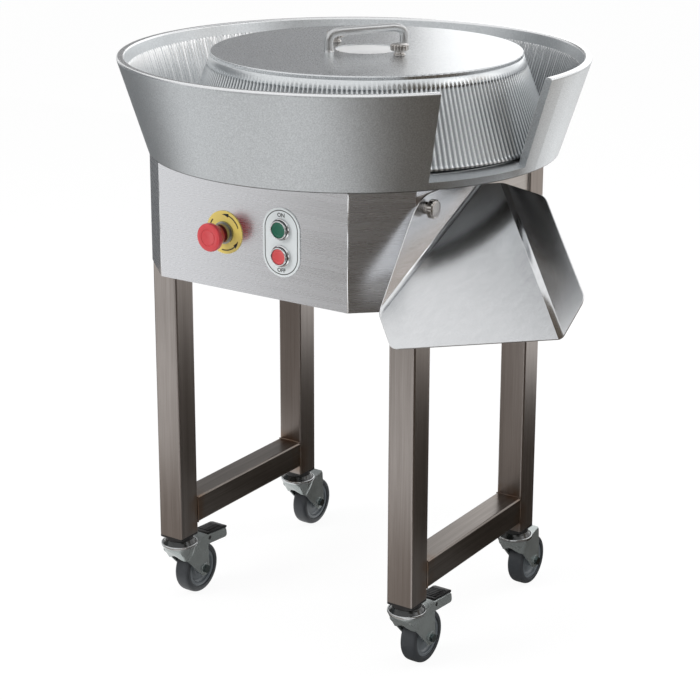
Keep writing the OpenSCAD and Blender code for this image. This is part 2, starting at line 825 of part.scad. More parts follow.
// Thumb screw standing on the origin, its thread pointing down
module thumb_screw(thread_len) {
    groove_d = 2.2;
    color(zinc) {
        translate([0, 0, -thread_len]) cylinder(d = knob_thread_d, h = thread_len + face_gap + over);
        translate([0, 0, face_gap]) cylinder(d = knob_neck_d, h = knob_neck_h - face_gap + over);
        translate([0, 0, knob_neck_h]) difference() {
            cylinder(d = knob_d, h = knob_h);
            for (i = [0 : knob_grooves - 1]) rotate(360 / knob_grooves * i)
                translate([knob_d / 2 + groove_d / 5, 0, -over])
                    cylinder(d = groove_d, h = knob_h + 2 * over);
        }
    }
}

module lid_screw(side) {
    translate(lid_screw_spot(side)) thumb_screw(lid_t + lip_t + hub_disc_t);
}

// Chute

chute_x = half_w + sheet / 2;
chute_corner_y = -half_d - chute_reach;
chute_side = 6;
fold_top = chute_fold * [-sin(chute_heading) / cos(chute_slope), cos(chute_heading)];
wall_foot = [chute_drop, chute_side + chute_low_w];
wall_top = fold_top + [0, chute_top_w];
wall_len = norm(wall_top - wall_foot);
wall_run = (wall_top - wall_foot) / wall_len;
corner_steps = 8;

// Directions of the chute's plate: downhill, level to the right, and out of its upper face
plate_x = [cos(chute_slope) * cos(chute_heading), -cos(chute_slope) * sin(chute_heading), -sin(chute_slope)];
plate_y = [sin(chute_heading), cos(chute_heading), 0];
plate_z = cross(plate_x, plate_y);

// Directions out of the back flange, and of the right wall: across its fold, up its face and out of it
flange_z = [1, 0, 0];
wall_left = wall_run[0] * plate_y - wall_run[1] * plate_x;
wall_up = sin(wall_angle) * plate_z - cos(wall_angle) * wall_left;
wall_z = cos(wall_angle) * plate_z + sin(wall_angle) * wall_left;

function on_plate(p) = [chute_x, chute_corner_y, chute_corner_z] + p[0] * plate_x + p[1] * plate_y;
function on_wall(along, up) = on_plate(wall_foot + along * wall_run) + up * wall_up;

// Half the sheet's thickness as a vector, on one face and at a fold between two faces
function half_sheet(m) = sheet / 2 * m;
function half_fold(m, n) = sheet / 2 * (m + n) / (1 + m * n);

// Points round one corner of a flat outline, between its neighbours
function corner_arc(before, corner, after) = let (start = facing(before, corner),
    turn = (facing(corner, after) - start + 2 * 360) % 360)
    [for (i = [0 : corner_steps]) [corner[0], corner[1]] + polar(corner[2], start + turn * i / corner_steps)];

// One sheet folded into plate, back flange and right wall, from the points round its edge.
// Each point stands on the sheet's middle, with half the thickness there.
module chute() {
    flange_front_y = chute_corner_y + flange_lead;
    flange_back_y = chute_corner_y + chute_fold;
    flange_top_z = deck_top_z - flange_drop;
    plate_arc = corner_arc([0, 0, 0],
        [chute_drop - chute_corner_r, chute_side + chute_corner_r, chute_corner_r], [each wall_foot, 0]);
    flange_arc = corner_arc([flange_back_y, flange_top_z, 0],
        [flange_front_y + flange_corner, flange_top_z - flange_corner, flange_corner],
        [chute_corner_y, chute_corner_z, 0]);
    edge = concat(
        [[on_plate([0, 0]), half_fold(flange_z, plate_z)]],
        [for (p = plate_arc) [on_plate(p), half_sheet(plate_z)]],
        [[on_plate(wall_foot), half_fold(plate_z, wall_z)]],
        [for (p = [[wall_low_cut, wall_w], [wall_len - wall_top_cut, wall_w]])
            [on_wall(p[0], p[1]), half_sheet(wall_z)]],
        [[on_plate(wall_top), half_fold(plate_z, wall_z)]],
        [[on_plate(fold_top), half_fold(flange_z, plate_z)]],
        [[[chute_x, flange_back_y, flange_top_z], half_sheet(flange_z)]],
        [for (p = flange_arc) [[chute_x, p[0], p[1]], half_sheet(flange_z)]]);
    count = len(edge);
    foot = corner_steps + 2;
    top = foot + 3;
    faces = [[each [0 : foot], top, top + 1], [each [foot : top]], [0, each [top + 1 : count - 1]]];
    color(sheet_steel) difference() {
        polyhedron(concat([for (e = edge) e[0] + e[1]], [for (e = edge) e[0] - e[1]]), concat(
            [for (f = faces) [for (i = [len(f) - 1 : -1 : 0]) f[i]]],
            [for (f = faces) [for (i = f) i + count]],
            [for (i = [0 : count - 1]) [i + count, i, (i + 1) % count]],
            [for (i = [0 : count - 1]) [i + count, (i + 1) % count, (i + 1) % count + count]]));
        translate(chute_screw_spot - [over, 0, 0]) rotate([0, 90, 0])
            cylinder(d = knob_thread_d + 2 * run_fit, h = sheet + 2 * over);
    }
}

module chute_screw() {
    translate(chute_screw_spot + [sheet, 0, 0]) rotate([0, 90, 0]) thumb_screw(sheet + tube_wall + 8);
}

// Controls

module estop_disc() {
    color("#e3c02c") on_face(estop_spot) ring(estop_disc_d, control_hole_d, plate_t);
}

module estop_collar() {
    bore_d = stem_bore_d + 2 * run_fit;
    color("#6f7376") on_face(estop_spot) difference() {
        union() {
            translate([0, 0, plate_t]) cylinder(d = control_hole_d + 6, h = 3);
            translate([0, 0, plate_t]) cylinder(d = control_hole_d + 2, h = collar_out - plate_t);
            translate([0, 0, -collar_back]) cylinder(d = body_d, h = collar_back + plate_t + over);
        }
        translate([0, 0, -collar_back - over]) cylinder(d = bore_d, h = collar_back + collar_out + 2 * over);
    }
}

head_low = collar_out + estop_travel + 0.5;
cap_edge = 9;

module estop_stem() {
    color("#7d1f22") on_face(estop_spot) translate([0, 0, -collar_back]) {
        cylinder(d = stem_bore_d, h = collar_back + head_low - face_gap);
        cylinder(d = stem_bore_d / 2, h = collar_back + mushroom_out - 6);
    }
}

module estop_head() {
    edge_round = 3;
    r = mushroom_d / 2;
    dimple_r = r / 2;
    color("#c8343c") on_face(estop_spot) difference() {
        rotate_extrude() {
            polygon([[0, head_low], [r - 6, head_low], [r - 2, mushroom_out - cap_edge],
                [r, mushroom_out - cap_edge + 1], [r, mushroom_out - edge_round],
                [r - edge_round, mushroom_out], [0, mushroom_out]]);
            translate([r - edge_round, mushroom_out - edge_round]) circle(r = edge_round);
        }
        translate([0, 0, head_low - over])
            cylinder(d = stem_bore_d / 2 + 2 * run_fit, h = mushroom_out - 6 + face_gap - head_low + over);
        translate([0, 0, mushroom_out - 0.6]) ring(2 * dimple_r + 1.2, 2 * dimple_r, over + 0.6);
    }
}

module button_plate() {
    inset_r = plate_w / 2 - 0.1;
    color("#e6e8ea") on_face([buttons_x, controls_z]) difference() {
        linear_extrude(plate_t) rounded_rectangle(plate_w, plate_h, inset_r);
        for (side = [-1, 1]) translate([0, side * button_pitch / 2, -over])
            cylinder(d = control_hole_d, h = plate_t + 2 * over);
    }
}

// Ring and threaded body of one push button
module bezel(spot) {
    bore_d = cap_d + 2 * run_fit;
    on_face(spot) difference() {
        union() {
            translate([0, 0, plate_t]) cylinder(d = bezel_d, h = bezel_out - plate_t - 1.5);
            translate([0, 0, bezel_out - 1.5]) cylinder(d1 = bezel_d, d2 = bezel_d - 3, h = 1.5);
            translate([0, 0, -collar_back]) cylinder(d = body_d, h = collar_back + plate_t + over);
        }
        translate([0, 0, -collar_back - over]) cylinder(d = bore_d, h = collar_back + bezel_out + 2 * over);
    }
}

module button_bezels() {
    color("#c9cdd0") for (spot = [start_spot, stop_spot]) bezel(spot);
}

// Cap of one push button, sliding in its ring
module push_cap(spot) {
    edge = 0.8;
    out = bezel_out - 1;
    back = collar_back - button_travel;
    on_face(spot) translate([0, 0, -back]) {
        cylinder(d = cap_d, h = back + out - edge);
        translate([0, 0, back + out - edge]) cylinder(d1 = cap_d, d2 = cap_d - 2 * edge, h = edge);
    }
}

module start_button() {
    color("#0d6b4a") push_cap(start_spot);
}

module stop_button() {
    color("#d4474c") push_cap(stop_spot);
}

// Nuts that clamp the controls behind the front cover
module control_nuts() {
    color(zinc) for (spot = [estop_spot, start_spot, stop_spot])
        on_face(spot) translate([0, 0, -sheet - nut_t]) ring(control_hole_d + 7, control_hole_d, nut_t);
}

// Switch blocks, each pushed onto the back of its control
module contact_blocks() {
    well = collar_back + estop_travel + 4;
    color(dark) for (spot = [estop_spot, start_spot, stop_spot]) on_face(spot) difference() {
        translate([-block_w / 2, -block_h / 2, -block_back])
            cube([block_w, block_h, block_back - block_front]);
        translate([0, 0, -well]) cylinder(d = control_hole_d, h = well);
    }
}

// Casters

// Moves a caster built over the origin to its leg
module at_leg(right, back) {
    translate([right * leg_x, back * leg_y, 0]) children();
}

// Lays a shape built along Z across a caster, from one side to the other, at a height and depth
module across(place) {
    translate([0, place[0], place[1]]) rotate([0, 90, 0]) children();
}

// Plugs, races and stems that hold the casters in the legs
module caster_stems() {
    plug_in = 24;
    plug = tube - 2 * tube_wall - 2 * seat_fit;
    rivet_h = 5;
    color(dark) for (right = [-1, 1], back = [-1, 1]) at_leg(right, back) {
        translate([0, 0, leg_foot_z - plug_lip]) linear_extrude(plug_lip)
            rounded_rectangle(tube, tube, tube_corner);
        translate([0, 0, leg_foot_z - over]) linear_extrude(plug_in + over)
            rounded_rectangle(plug, plug, tube_corner);
        translate([0, 0, leg_foot_z - plug_lip - race_h]) cylinder(r = race_r, h = race_h + over);
        translate([0, 0, plate_top_z - fork_t - face_gap])
            cylinder(d = stem_d, h = leg_foot_z - plate_top_z + fork_t);
        translate([0, 0, plate_top_z - fork_t - face_gap - rivet_h]) cylinder(d = stem_d + 6, h = rivet_h);
    }
}

// Fork of one caster: round crown, top plate and two side plates, longer where it carries a brake
module fork(braked) {
    nose_y = -10;
    tail_y = trail + 8;
    corner = 5;
    axle_r = 11;
    nose_r = 7;
    edge_r = 3;
    arm_r = 4;
    arm_reach = 42;
    arm_drop = 15;
    arm_root = 20;
    axle_spot = [trail, wheel_r];
    stem_hole_d = stem_d + 2 * run_fit;
    color(zinc) difference() {
        union() {
            translate([0, 0, plate_top_z - fork_t]) linear_extrude(fork_t) rounded_outline([
                [0, 0, crown_r], [fork_out - edge_r, tail_y - edge_r, edge_r],
                [edge_r - fork_out, tail_y - edge_r, edge_r]]);
            translate([0, 0, plate_top_z - over])
                cylinder(r1 = crown_r, r2 = race_r, h = crown_top_z - plate_top_z + over);
            for (side = [-1, 1]) translate([side > 0 ? fork_in : -fork_out, 0, 0]) rotate([90, 0, 90])
                linear_extrude(fork_t) {
                    rounded_outline([[nose_y, plate_top_z - nose_r, nose_r],
                        [axle_spot[0], axle_spot[1], axle_r],
                        [tail_y - corner, plate_top_z - corner, corner]]);
                    if (braked) rounded_outline([[tail_y - arm_root, plate_top_z - nose_r, nose_r],
                        [tail_y + arm_reach, plate_top_z - arm_drop, arm_r],
                        [tail_y + arm_reach - 1, plate_top_z - arm_drop + 1.5 * arm_r, arm_r],
                        [tail_y - 4 * arm_r, plate_top_z - arm_r, arm_r]]);
                }
        }
        translate([0, 0, plate_top_z - fork_t - over])
            cylinder(d = stem_hole_d, h = crown_top_z - plate_top_z + fork_t + 2 * over);
        across(axle_spot) cylinder(d = axle_d + 2 * seat_fit, h = 2 * fork_out + 2 * over, center = true);
        if (braked) across(pedal_pivot)
            cylinder(d = pedal_pin_d + 2 * run_fit, h = 2 * fork_out + 2 * over, center = true);
    }
}

// Wheel core: hub, web and rim in one section, turned about the axle
module wheel() {
    hub_r = 9;
    rim_t = 4;
    web = 8;
    bore_r = axle_d / 2 + run_fit;
    rim_w = wheel_w - 4;
    color("#7b8087") across([trail, wheel_r]) rotate_extrude() {
        translate([bore_r, -wheel_w / 2]) square([hub_r - bore_r, wheel_w]);
        translate([bore_r, -web / 2]) square([core_d / 2 - bore_r, web]);
        translate([core_d / 2 - rim_t, -rim_w / 2]) square([rim_t, rim_w]);
    }
}

module tyre() {
    in_r = core_d / 2 + face_gap;
    shoulder = 0.42 * (wheel_r - in_r);
    half = wheel_w / 2;
    color("#3a3d42") across([trail, wheel_r]) rotate_extrude() rounded_outline([
        [in_r + 1, 1 - half, 1], [wheel_r - shoulder, shoulder - half, shoulder],
        [wheel_r - shoulder, half - shoulder, shoulder], [in_r + 1, half - 1, 1]]);
}

module axle() {
    head_d = 1.6 * axle_d;
    head_h = 0.6 * axle_d;
    color(zinc) across([trail, wheel_r]) {
        cylinder(d = axle_d, h = 2 * fork_out + 2 * head_h, center = true);
        for (side = [-1, 1]) translate([0, 0, side * (fork_out + head_h / 2)])
            cylinder(d = head_d, h = head_h, center = true, $fn = 6);
    }
}

// Foot pedal of a brake, on a pin across the fork, with a shoe above the tyre
module brake_pedal() {
    half = fork_in - 1.5;
    arm = 4;
    heel = pedal_pivot + [1.5, 3];
    toe = pedal_pivot + [44, 1];
    shoe = pedal_pivot + [11, -9.5];
    color(dark) {
        translate([-half, 0, 0]) rotate([90, 0, 90]) linear_extrude(2 * half) {
            rounded_outline([[pedal_pivot[0], pedal_pivot[1], arm], [toe[0], toe[1], arm / 2],
                [toe[0] - 6, toe[1] + 2, arm / 2], [heel[0], heel[1], arm]]);
            rounded_outline([[pedal_pivot[0], pedal_pivot[1], arm], [shoe[0], shoe[1], arm / 2],
                [shoe[0] + 4, shoe[1] + 5, arm / 2]]);
        }
        across(pedal_pivot) cylinder(d = pedal_pin_d, h = 2 * fork_out, center = true);
    }
}

leg(-1, -1);  // leg_front_left
leg(1, -1);  // leg_front_right
leg(-1, 1);  // leg_rear_left
leg(1, 1);  // leg_rear_right
rail(-1);  // rail_left
rail(1);  // rail_right
deck_plate();
front_cover();
side_panel(-1);  // side_panel_left
side_panel(1);  // side_panel_right
rear_panel();
bottom_cover();
panel_screws();
gearbox_housing();
motor_body();
motor_fan_cover();
bearing_housing();
shaft_bearing();
shaft_seal();
drive_shaft();
cone_hub();
rounding_cone();
cone_lid();
lid_handle();
lid_screw(1);  // lid_screw_right
lid_screw(-1);  // lid_screw_left
outer_bowl();
bowl_bolts();
chute();
chute_screw();
estop_head();
estop_stem();
estop_collar();
estop_disc();
start_button();
stop_button();
button_bezels();
button_plate();
contact_blocks();
control_nuts();
cable_gland();
caster_stems();
at_leg(-1, -1) fork(true);  // fork_front_left
at_leg(1, -1) fork(true);  // fork_front_right
at_leg(-1, 1) fork(false);  // fork_rear_left
at_leg(1, 1) fork(false);  // fork_rear_right
at_leg(-1, -1) wheel();  // wheel_front_left
at_leg(1, -1) wheel();  // wheel_front_right
at_leg(-1, 1) wheel();  // wheel_rear_left
at_leg(1, 1) wheel();  // wheel_rear_right
at_leg(-1, -1) tyre();  // tyre_front_left
at_leg(1, -1) tyre();  // tyre_front_right
at_leg(-1, 1) tyre();  // tyre_rear_left
at_leg(1, 1) tyre();  // tyre_rear_right
at_leg(-1, -1) axle();  // axle_front_left
at_leg(1, -1) axle();  // axle_front_right
at_leg(-1, 1) axle();  // axle_rear_left
at_leg(1, 1) axle();  // axle_rear_right
at_leg(-1, -1) brake_pedal();  // pedal_front_left
at_leg(1, -1) brake_pedal();  // pedal_front_right
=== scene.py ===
"""Looks of a dough rounder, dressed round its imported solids.

Lengths are in millimetres in the classes and become metres when a mesh is made. X runs along the
front towards the chute, Y runs away from the control panel, Z is up and the floor is at zero.
"""

from __future__ import annotations

import json
import logging
import math
from dataclasses import dataclass
from enum import Enum
from functools import cached_property

import bmesh
import bpy
import numpy as np
from mathutils import Matrix, Vector


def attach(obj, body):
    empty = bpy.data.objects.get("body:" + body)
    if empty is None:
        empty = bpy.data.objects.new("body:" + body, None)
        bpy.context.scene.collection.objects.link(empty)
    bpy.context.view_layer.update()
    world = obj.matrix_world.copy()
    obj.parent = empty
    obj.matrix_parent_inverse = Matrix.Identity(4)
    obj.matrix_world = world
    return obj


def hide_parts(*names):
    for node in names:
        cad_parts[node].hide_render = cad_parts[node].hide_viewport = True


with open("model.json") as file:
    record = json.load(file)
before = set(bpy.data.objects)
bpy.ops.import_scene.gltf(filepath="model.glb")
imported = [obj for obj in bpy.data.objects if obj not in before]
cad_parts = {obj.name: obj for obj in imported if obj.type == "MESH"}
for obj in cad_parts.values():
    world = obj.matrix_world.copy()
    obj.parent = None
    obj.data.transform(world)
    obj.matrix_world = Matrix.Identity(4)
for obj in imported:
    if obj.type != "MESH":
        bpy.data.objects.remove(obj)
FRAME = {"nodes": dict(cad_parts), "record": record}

LOG = logging.getLogger("dough_rounder")
MM = 0.001
TURN = 2 * math.pi

Color = tuple[float, float, float]
Point = tuple[float, float, float]
Spot = tuple[float, float]

# Places and counts that finishes and pieces share
BOWL_AXIS = (3.0, 8.0)
BOWL_FLUTE_COUNT = 296
CONE_AXIS = (19.9145, 14.1564)
CONE_FLUTE_COUNT = 216
LID_Z = 815.0
RAIL_END = 130.0
RAIL_Z = 139.0


class Brush(Enum):
    """The way that metal is brushed, as its noise's scale along X, Y and Z: a small one gives long lines."""

    ALONG_Y = (1.0, 0.012, 1.0)
    UPRIGHT = (1.0, 1.0, 0.012)
    LEVEL = (0.012, 0.012, 1.0)


class Facing(Enum):
    """The way that a thumb screw's head points."""

    RIGHT = "right"
    UP = "up"


class Close(Enum):
    """How a grid of points is closed into a surface."""

    STRIP = "open on all sides"
    RING = "the last row joins the first"
    TORUS = "the last row and the last column join the first"
    TUBE = "the last column joins the first, with a polygon at each end"


class Corner(Enum):
    """A corner of the stand, as the signs of its X and Y."""

    FRONT_LEFT = (-1, -1)
    FRONT_RIGHT = (1, -1)
    REAR_LEFT = (-1, 1)
    REAR_RIGHT = (1, 1)

    @property
    def label(self) -> str:
        """The corner's name as the solids write it."""
        return self.name.lower()


# Shader expressions


class Value:
    """An output socket that can be used in arithmetic, which adds Math nodes."""

    def __init__(self, graph: Graph, socket: bpy.types.NodeSocket) -> None:
        """Keeps the socket and the node tree that it belongs to.

        Args:
            graph: the node tree that the socket is in.
            socket: the output socket.
        """
        self.graph = graph
        self.socket = socket

    def _math(self, operation: str, *terms: Value | float) -> Value:
        """Adds one Math node, and gives its output."""
        return self.graph.node("ShaderNodeMath", {"operation": operation}, dict(enumerate(terms)))

    def __add__(self, other: Value | float) -> Value:
        """Sum."""
        return self._math("ADD", self, other)

    __radd__ = __add__

    def __sub__(self, other: Value | float) -> Value:
        """Difference."""
        return self._math("SUBTRACT", self, other)

    def __rsub__(self, other: float) -> Value:
        """Difference from a number."""
        return self._math("SUBTRACT", other, self)

    def __mul__(self, other: Value | float) -> Value:
        """Product."""
        return self._math("MULTIPLY", self, other)

    __rmul__ = __mul__

    def __abs__(self) -> Value:
        """Absolute value."""
        return self._math("ABSOLUTE", self)

    def angle(self, other: Value) -> Value:
        """The angle of a point whose Y is this value and whose X is another."""
        return self._math("ARCTAN2", self, other)

    def fraction(self) -> Value:
        """What is left after the whole part."""
        return self._math("FRACT", self)

    def most(self, other: Value) -> Value:
        """The larger of two values."""
        return self._math("MAXIMUM", self, other)

    def ease(self, low: float, high: float) -> Value:
        """Smooth step from 0 at low to 1 at high, or the other way where low is above high.

        Args:
            low: the value that gives 0.
            high: the value that gives 1.

        Returns:
            The stepped value.
        """
        if low > high:
            return 1 - self.ease(high, low)
        sockets = {"Value": self, "From Min": low, "From Max": high}
        return self.graph.node("ShaderNodeMapRange", {"interpolation_type": "SMOOTHSTEP"}, sockets)


class Graph:
    """A node tree that nodes are added to."""

    def __init__(self, tree: bpy.types.NodeTree) -> None:
        """Keeps the tree."""
        self.tree = tree

    def node(
        self,
        kind: str,
        settings: dict[str, object] | None = None,
        inputs: dict[str | int, object] | None = None,
        out: str | int = 0,
    ) -> Value:
        """Adds a node.

        Args:
            kind: the node's type.
            settings: its properties, set first.
            inputs: values or links of its sockets.
            out: the output that is wanted.

        Returns:
            That output.
        """
        made = self.tree.nodes.new(kind)
        for key, value in (settings or {}).items():
            setattr(made, key, value)
        for key, value in (inputs or {}).items():
            if isinstance(value, Value):
                self.tree.links.new(value.socket, made.inputs[key])
            else:
                made.inputs[key].default_value = value
        return Value(self, made.outputs[out])

    def seen(self) -> Value:
        """Tells the rays that see from the rays that light.

        Returns:
            1 for rays that the camera, metal or glass sees, and 0 for rays that light the object.
        """
        path = self.node("ShaderNodeLightPath").socket.node.outputs
        kinds = ("Is Camera Ray", "Is Glossy Ray", "Is Transmission Ray")
        camera, glossy, through = (Value(self, path[kind]) for kind in kinds)
        return camera.most(glossy).most(through)


class Look(Graph):
    """One node material round a Principled shader."""

    def __init__(self, name: str, **fixed: float | tuple) -> None:
        """Makes the material and sets what is the same all over it.

        Args:
            name: the material's name.
            fixed: values of the shader's sockets, with _ for a space in a socket's name.
        """
        self.material = bpy.data.materials.new(name)
        self.material.use_nodes = True
        super().__init__(self.material.node_tree)
        self.shader = self.tree.nodes["Principled BSDF"]
        for key, value in fixed.items():
            self.shader.inputs[key.replace("_", " ")].default_value = value

    def feed(self, socket: str, value: Value) -> None:
        """Links a value to one of the shader's sockets."""
        self.tree.links.new(value.socket, self.shader.inputs[socket])

    def surface(self, shader: Value) -> None:
        """Links a shader to the material's output."""
        self.tree.links.new(shader.socket, self.tree.nodes["Material Output"].inputs["Surface"])

    def place(self) -> Value:
        """The point on the object, in metres."""
        return self.node("ShaderNodeTexCoord", out="Object")

    def parts(self, vector: Value) -> list[Value]:
        """X, Y and Z of a vector."""
        split = self.node("ShaderNodeSeparateXYZ", None, {0: vector})
        return [Value(self, output) for output in split.socket.node.outputs]

    def noise(self, vector: Value, scale: float, detail: float = 2.0, rough: float = 0.5) -> Value:
        """Fractal noise between 0 and 1, with a scale of waves in a metre and the detail of finer layers."""
        sockets = {"Vector": vector, "Scale": scale, "Detail": detail, "Roughness": rough}
        return self.node("ShaderNodeTexNoise", None, sockets)

    def mix(self, share: Value, first: Value | Color, second: Value | Color) -> Value:
        """Blends two colours, from the first at a share of 0 to the second at 1."""
        ends = [c if isinstance(c, Value) else (*c, 1.0) for c in (first, second)]
        return self.node("ShaderNodeMix", {"data_type": "RGBA"}, {0: share, 6: ends[0], 7: ends[1]}, 2)

    def relief(self, height: Value, strength: float, depth: float) -> None:
        """Bumps the surface by a height from 0 to 1, used by its strength, where 1 is the depth in metres."""
        sockets = {"Strength": strength, "Distance": depth, "Height": height}
        self.feed("Normal", self.node("ShaderNodeBump", None, sockets))


# Kinds of finish


def darker(color: Color, share: float) -> Color:
    """A share of a colour."""
    return tuple(share * c for c in color)


@dataclass(frozen=True)
class BrushedSteel:
    """Stainless steel with fine lines along one direction, faint clouds and a soft sheen."""

    light: Color  # between the lines
    dark: Color  # in the lines
    lines: Brush
    rough: float  # mean roughness
    clouds: float  # how far faint clouds darken it
    tint: Color | None = None  # heated metal near welds
    bump: float = 0.12  # strength of the lines as a relief

    def make(self, name: str) -> bpy.types.Material:
        """Builds the material: noise drawn out along the lines sets colour, roughness and bump.

        Args:
            name: the material's name.

        Returns:
            The material.
        """
        look = Look(name, Metallic=1.0)
        place = look.place()
        stretch = {0: place, 1: self.lines.value}
        drawn = look.node("ShaderNodeVectorMath", {"operation": "MULTIPLY"}, stretch)
        fine = look.noise(drawn, 900.0, 3.0, 0.6)
        coarse = look.noise(drawn, 130.0)
        cloud = look.noise(place, 6.0, 3.0)
        lines = fine * 0.6 + coarse * 0.4
        color = look.mix(lines.ease(0.3, 0.7), self.dark, self.light)
        color = look.mix(cloud.ease(0.35, 0.75) * self.clouds, color, darker(self.dark, 0.55))
        if self.tint:
            color = look.mix(self.heat(look, place), color, self.tint)
        look.feed("Base Color", color)
        look.feed("Roughness", self.rough - 0.05 + lines * 0.1 + cloud * (self.clouds * 0.25))
        look.relief(fine, self.bump, 0.00006)
        return look.material

    @staticmethod
    def heat(look: Look, place: Value) -> Value:
        """Share of heat tint: a band round the foot rails' ends, broken by noise.

        Args:
            look: the material.
            place: the point on the object.

        Returns:
            The share, from 0 to 0.55.
        """
        _, y, z = look.parts(place)
        near_end = abs(abs(y) - RAIL_END * MM).ease(0.030, 0.002)
        near_rail = abs(z - RAIL_Z * MM).ease(0.042, 0.020)
        patches = look.noise(place, 38.0, 3.0).ease(0.3, 0.62)
        return near_end * near_rail * patches * 0.55


@dataclass(frozen=True)
class CastMetal:
    """Satin cast aluminium with a fine grain and a brighter machined edge, darkened by painted shade in its
    grooves and under its foot.
    """

    light: Color  # of the grains
    dark: Color  # between the grains
    rough: float  # mean roughness
    grain: float  # grains in a metre
    edge: float = 9999.0  # height where a machined edge starts
    foot: float = -9.0  # height below which painted shade darkens the casting
    grooves: int = 0  # grooves round it, darkened with painted shade
    centre: Spot = (0.0, 0.0)  # axis of those grooves in plan
    phase: float = 0.5  # where a groove lies, as a share of their pitch
    valley: Color = (0.1, 0.105, 0.11)  # painted shade deep in a groove
    width: float = 0.3  # half of a groove, as a share of their pitch
    crest: float = 796.0  # height where the grooves' painted shade starts to fade
    bright: Color = (0.8, 0.81, 0.82)  # of the machined edge
    soil: Color = (0.03, 0.027, 0.024)  # painted shade under the foot

    def make(self, name: str) -> bpy.types.Material:
        """Builds the material: fine noise gives speckle and bump, slow noise gives faint clouds, and painted
        shade darkens the foot and the grooves.

        Args:
            name: the material's name.

        Returns:
            The material.
        """
        look = Look(name, Metallic=1.0)
        place = look.place()
        speck = look.noise(place, self.grain, 3.0, 0.62)
        cloud = look.noise(place, 7.0, 3.0)
        _, _, z = look.parts(place)
        rim = z.ease((self.edge - 0.6) * MM, (self.edge + 0.6) * MM)
        color = look.mix(speck.ease(0.32, 0.7), self.dark, self.light)
        color = look.mix(cloud.ease(0.4, 0.8) * 0.1, color, darker(self.dark, 0.7))
        # painted shade: the casting turns dark below its foot's height, where the shade under the bowl falls
        color = look.mix(z.ease((self.foot + 1.6) * MM, self.foot * MM), color, self.soil)
        if self.grooves:
            # painted shade in the grooves, where the flutes' hollows fall dark
            color = look.mix(self.groove(look, place), color, self.valley)
        look.feed("Base Color", look.mix(rim, color, self.bright))
        look.feed("Roughness", (self.rough - 0.05 + speck * 0.12) * (1 - rim * 0.35))
        look.relief(speck, 0.35, 0.00025)
        return look.material

    def groove(self, look: Look, place: Value) -> Value:
        """Share of painted groove shade: a narrow band at one place in every pitch of the angle round the
        axis.

        Args:
            look: the material.
            place: the point on the object.

        Returns:
            The share, from 0 to 0.85.
        """
        x, y, z = look.parts(place)
        angle = (y - self.centre[1] * MM).angle(x - self.centre[0] * MM)
        pitch = (angle * (self.grooves / TURN) + (self.grooves + 0.5 - self.phase)).fraction()
        band = abs(pitch - 0.5).ease(self.width, self.width / 4)
        return band * z.ease((self.crest + 4) * MM, self.crest * MM) * 0.85


@dataclass(frozen=True)
class PlatedSteel:
    """Zinc or chrome plate with soft mottling."""

    light: Color
    dark: Color  # in the mottling
    rough: float  # mean roughness
    metal: float = 1.0  # how far it mirrors as metal, where less is a dull plate

    def make(self, name: str) -> bpy.types.Material:
        """Builds the material: two sizes of noise make the mottling.

        Args:
            name: the material's name.

        Returns:
            The material.
        """
        look = Look(name, Metallic=self.metal)
        place = look.place()
        large = look.noise(place, 45.0, 3.0)
        small = look.noise(place, 420.0)
        mottling = (large * 0.7 + small * 0.3).ease(0.3, 0.7)
        look.feed("Base Color", look.mix(mottling, self.dark, self.light))
        look.feed("Roughness", self.rough - 0.05 + large * 0.1)
        look.relief(small, 0.1, 0.0001)
        return look.material


@dataclass(frozen=True)
class Moulded:
    """Plastic, paint or rubber with a faint texture."""

    color: Color
    worn: Color  # of faint dust and scuffs
    rough: float  # mean roughness
    coat: float = 0.0  # glossy layer, from 0 to 1
    grain: float = 900.0  # grains in a metre
    bump: float = 0.15  # strength of the grain

    def make(self, name: str) -> bpy.types.Material:
        """Builds the material: slow noise mixes the worn colour in, fine noise gives the grain.

        Args:
            name: the material's name.

        Returns:
            The material.
        """
        look = Look(name, Metallic=0.0, Coat_Weight=self.coat, Coat_Roughness=0.08)
        place = look.place()
        scuff = look.noise(place, 55.0, 4.0, 0.6)
        look.feed("Base Color", look.mix(scuff.ease(0.48, 0.8) * 0.35, self.color, self.worn))
        look.feed("Roughness", self.rough - 0.05 + scuff * 0.1)
        look.relief(look.noise(place, self.grain), self.bump, 0.0002)
        return look.material


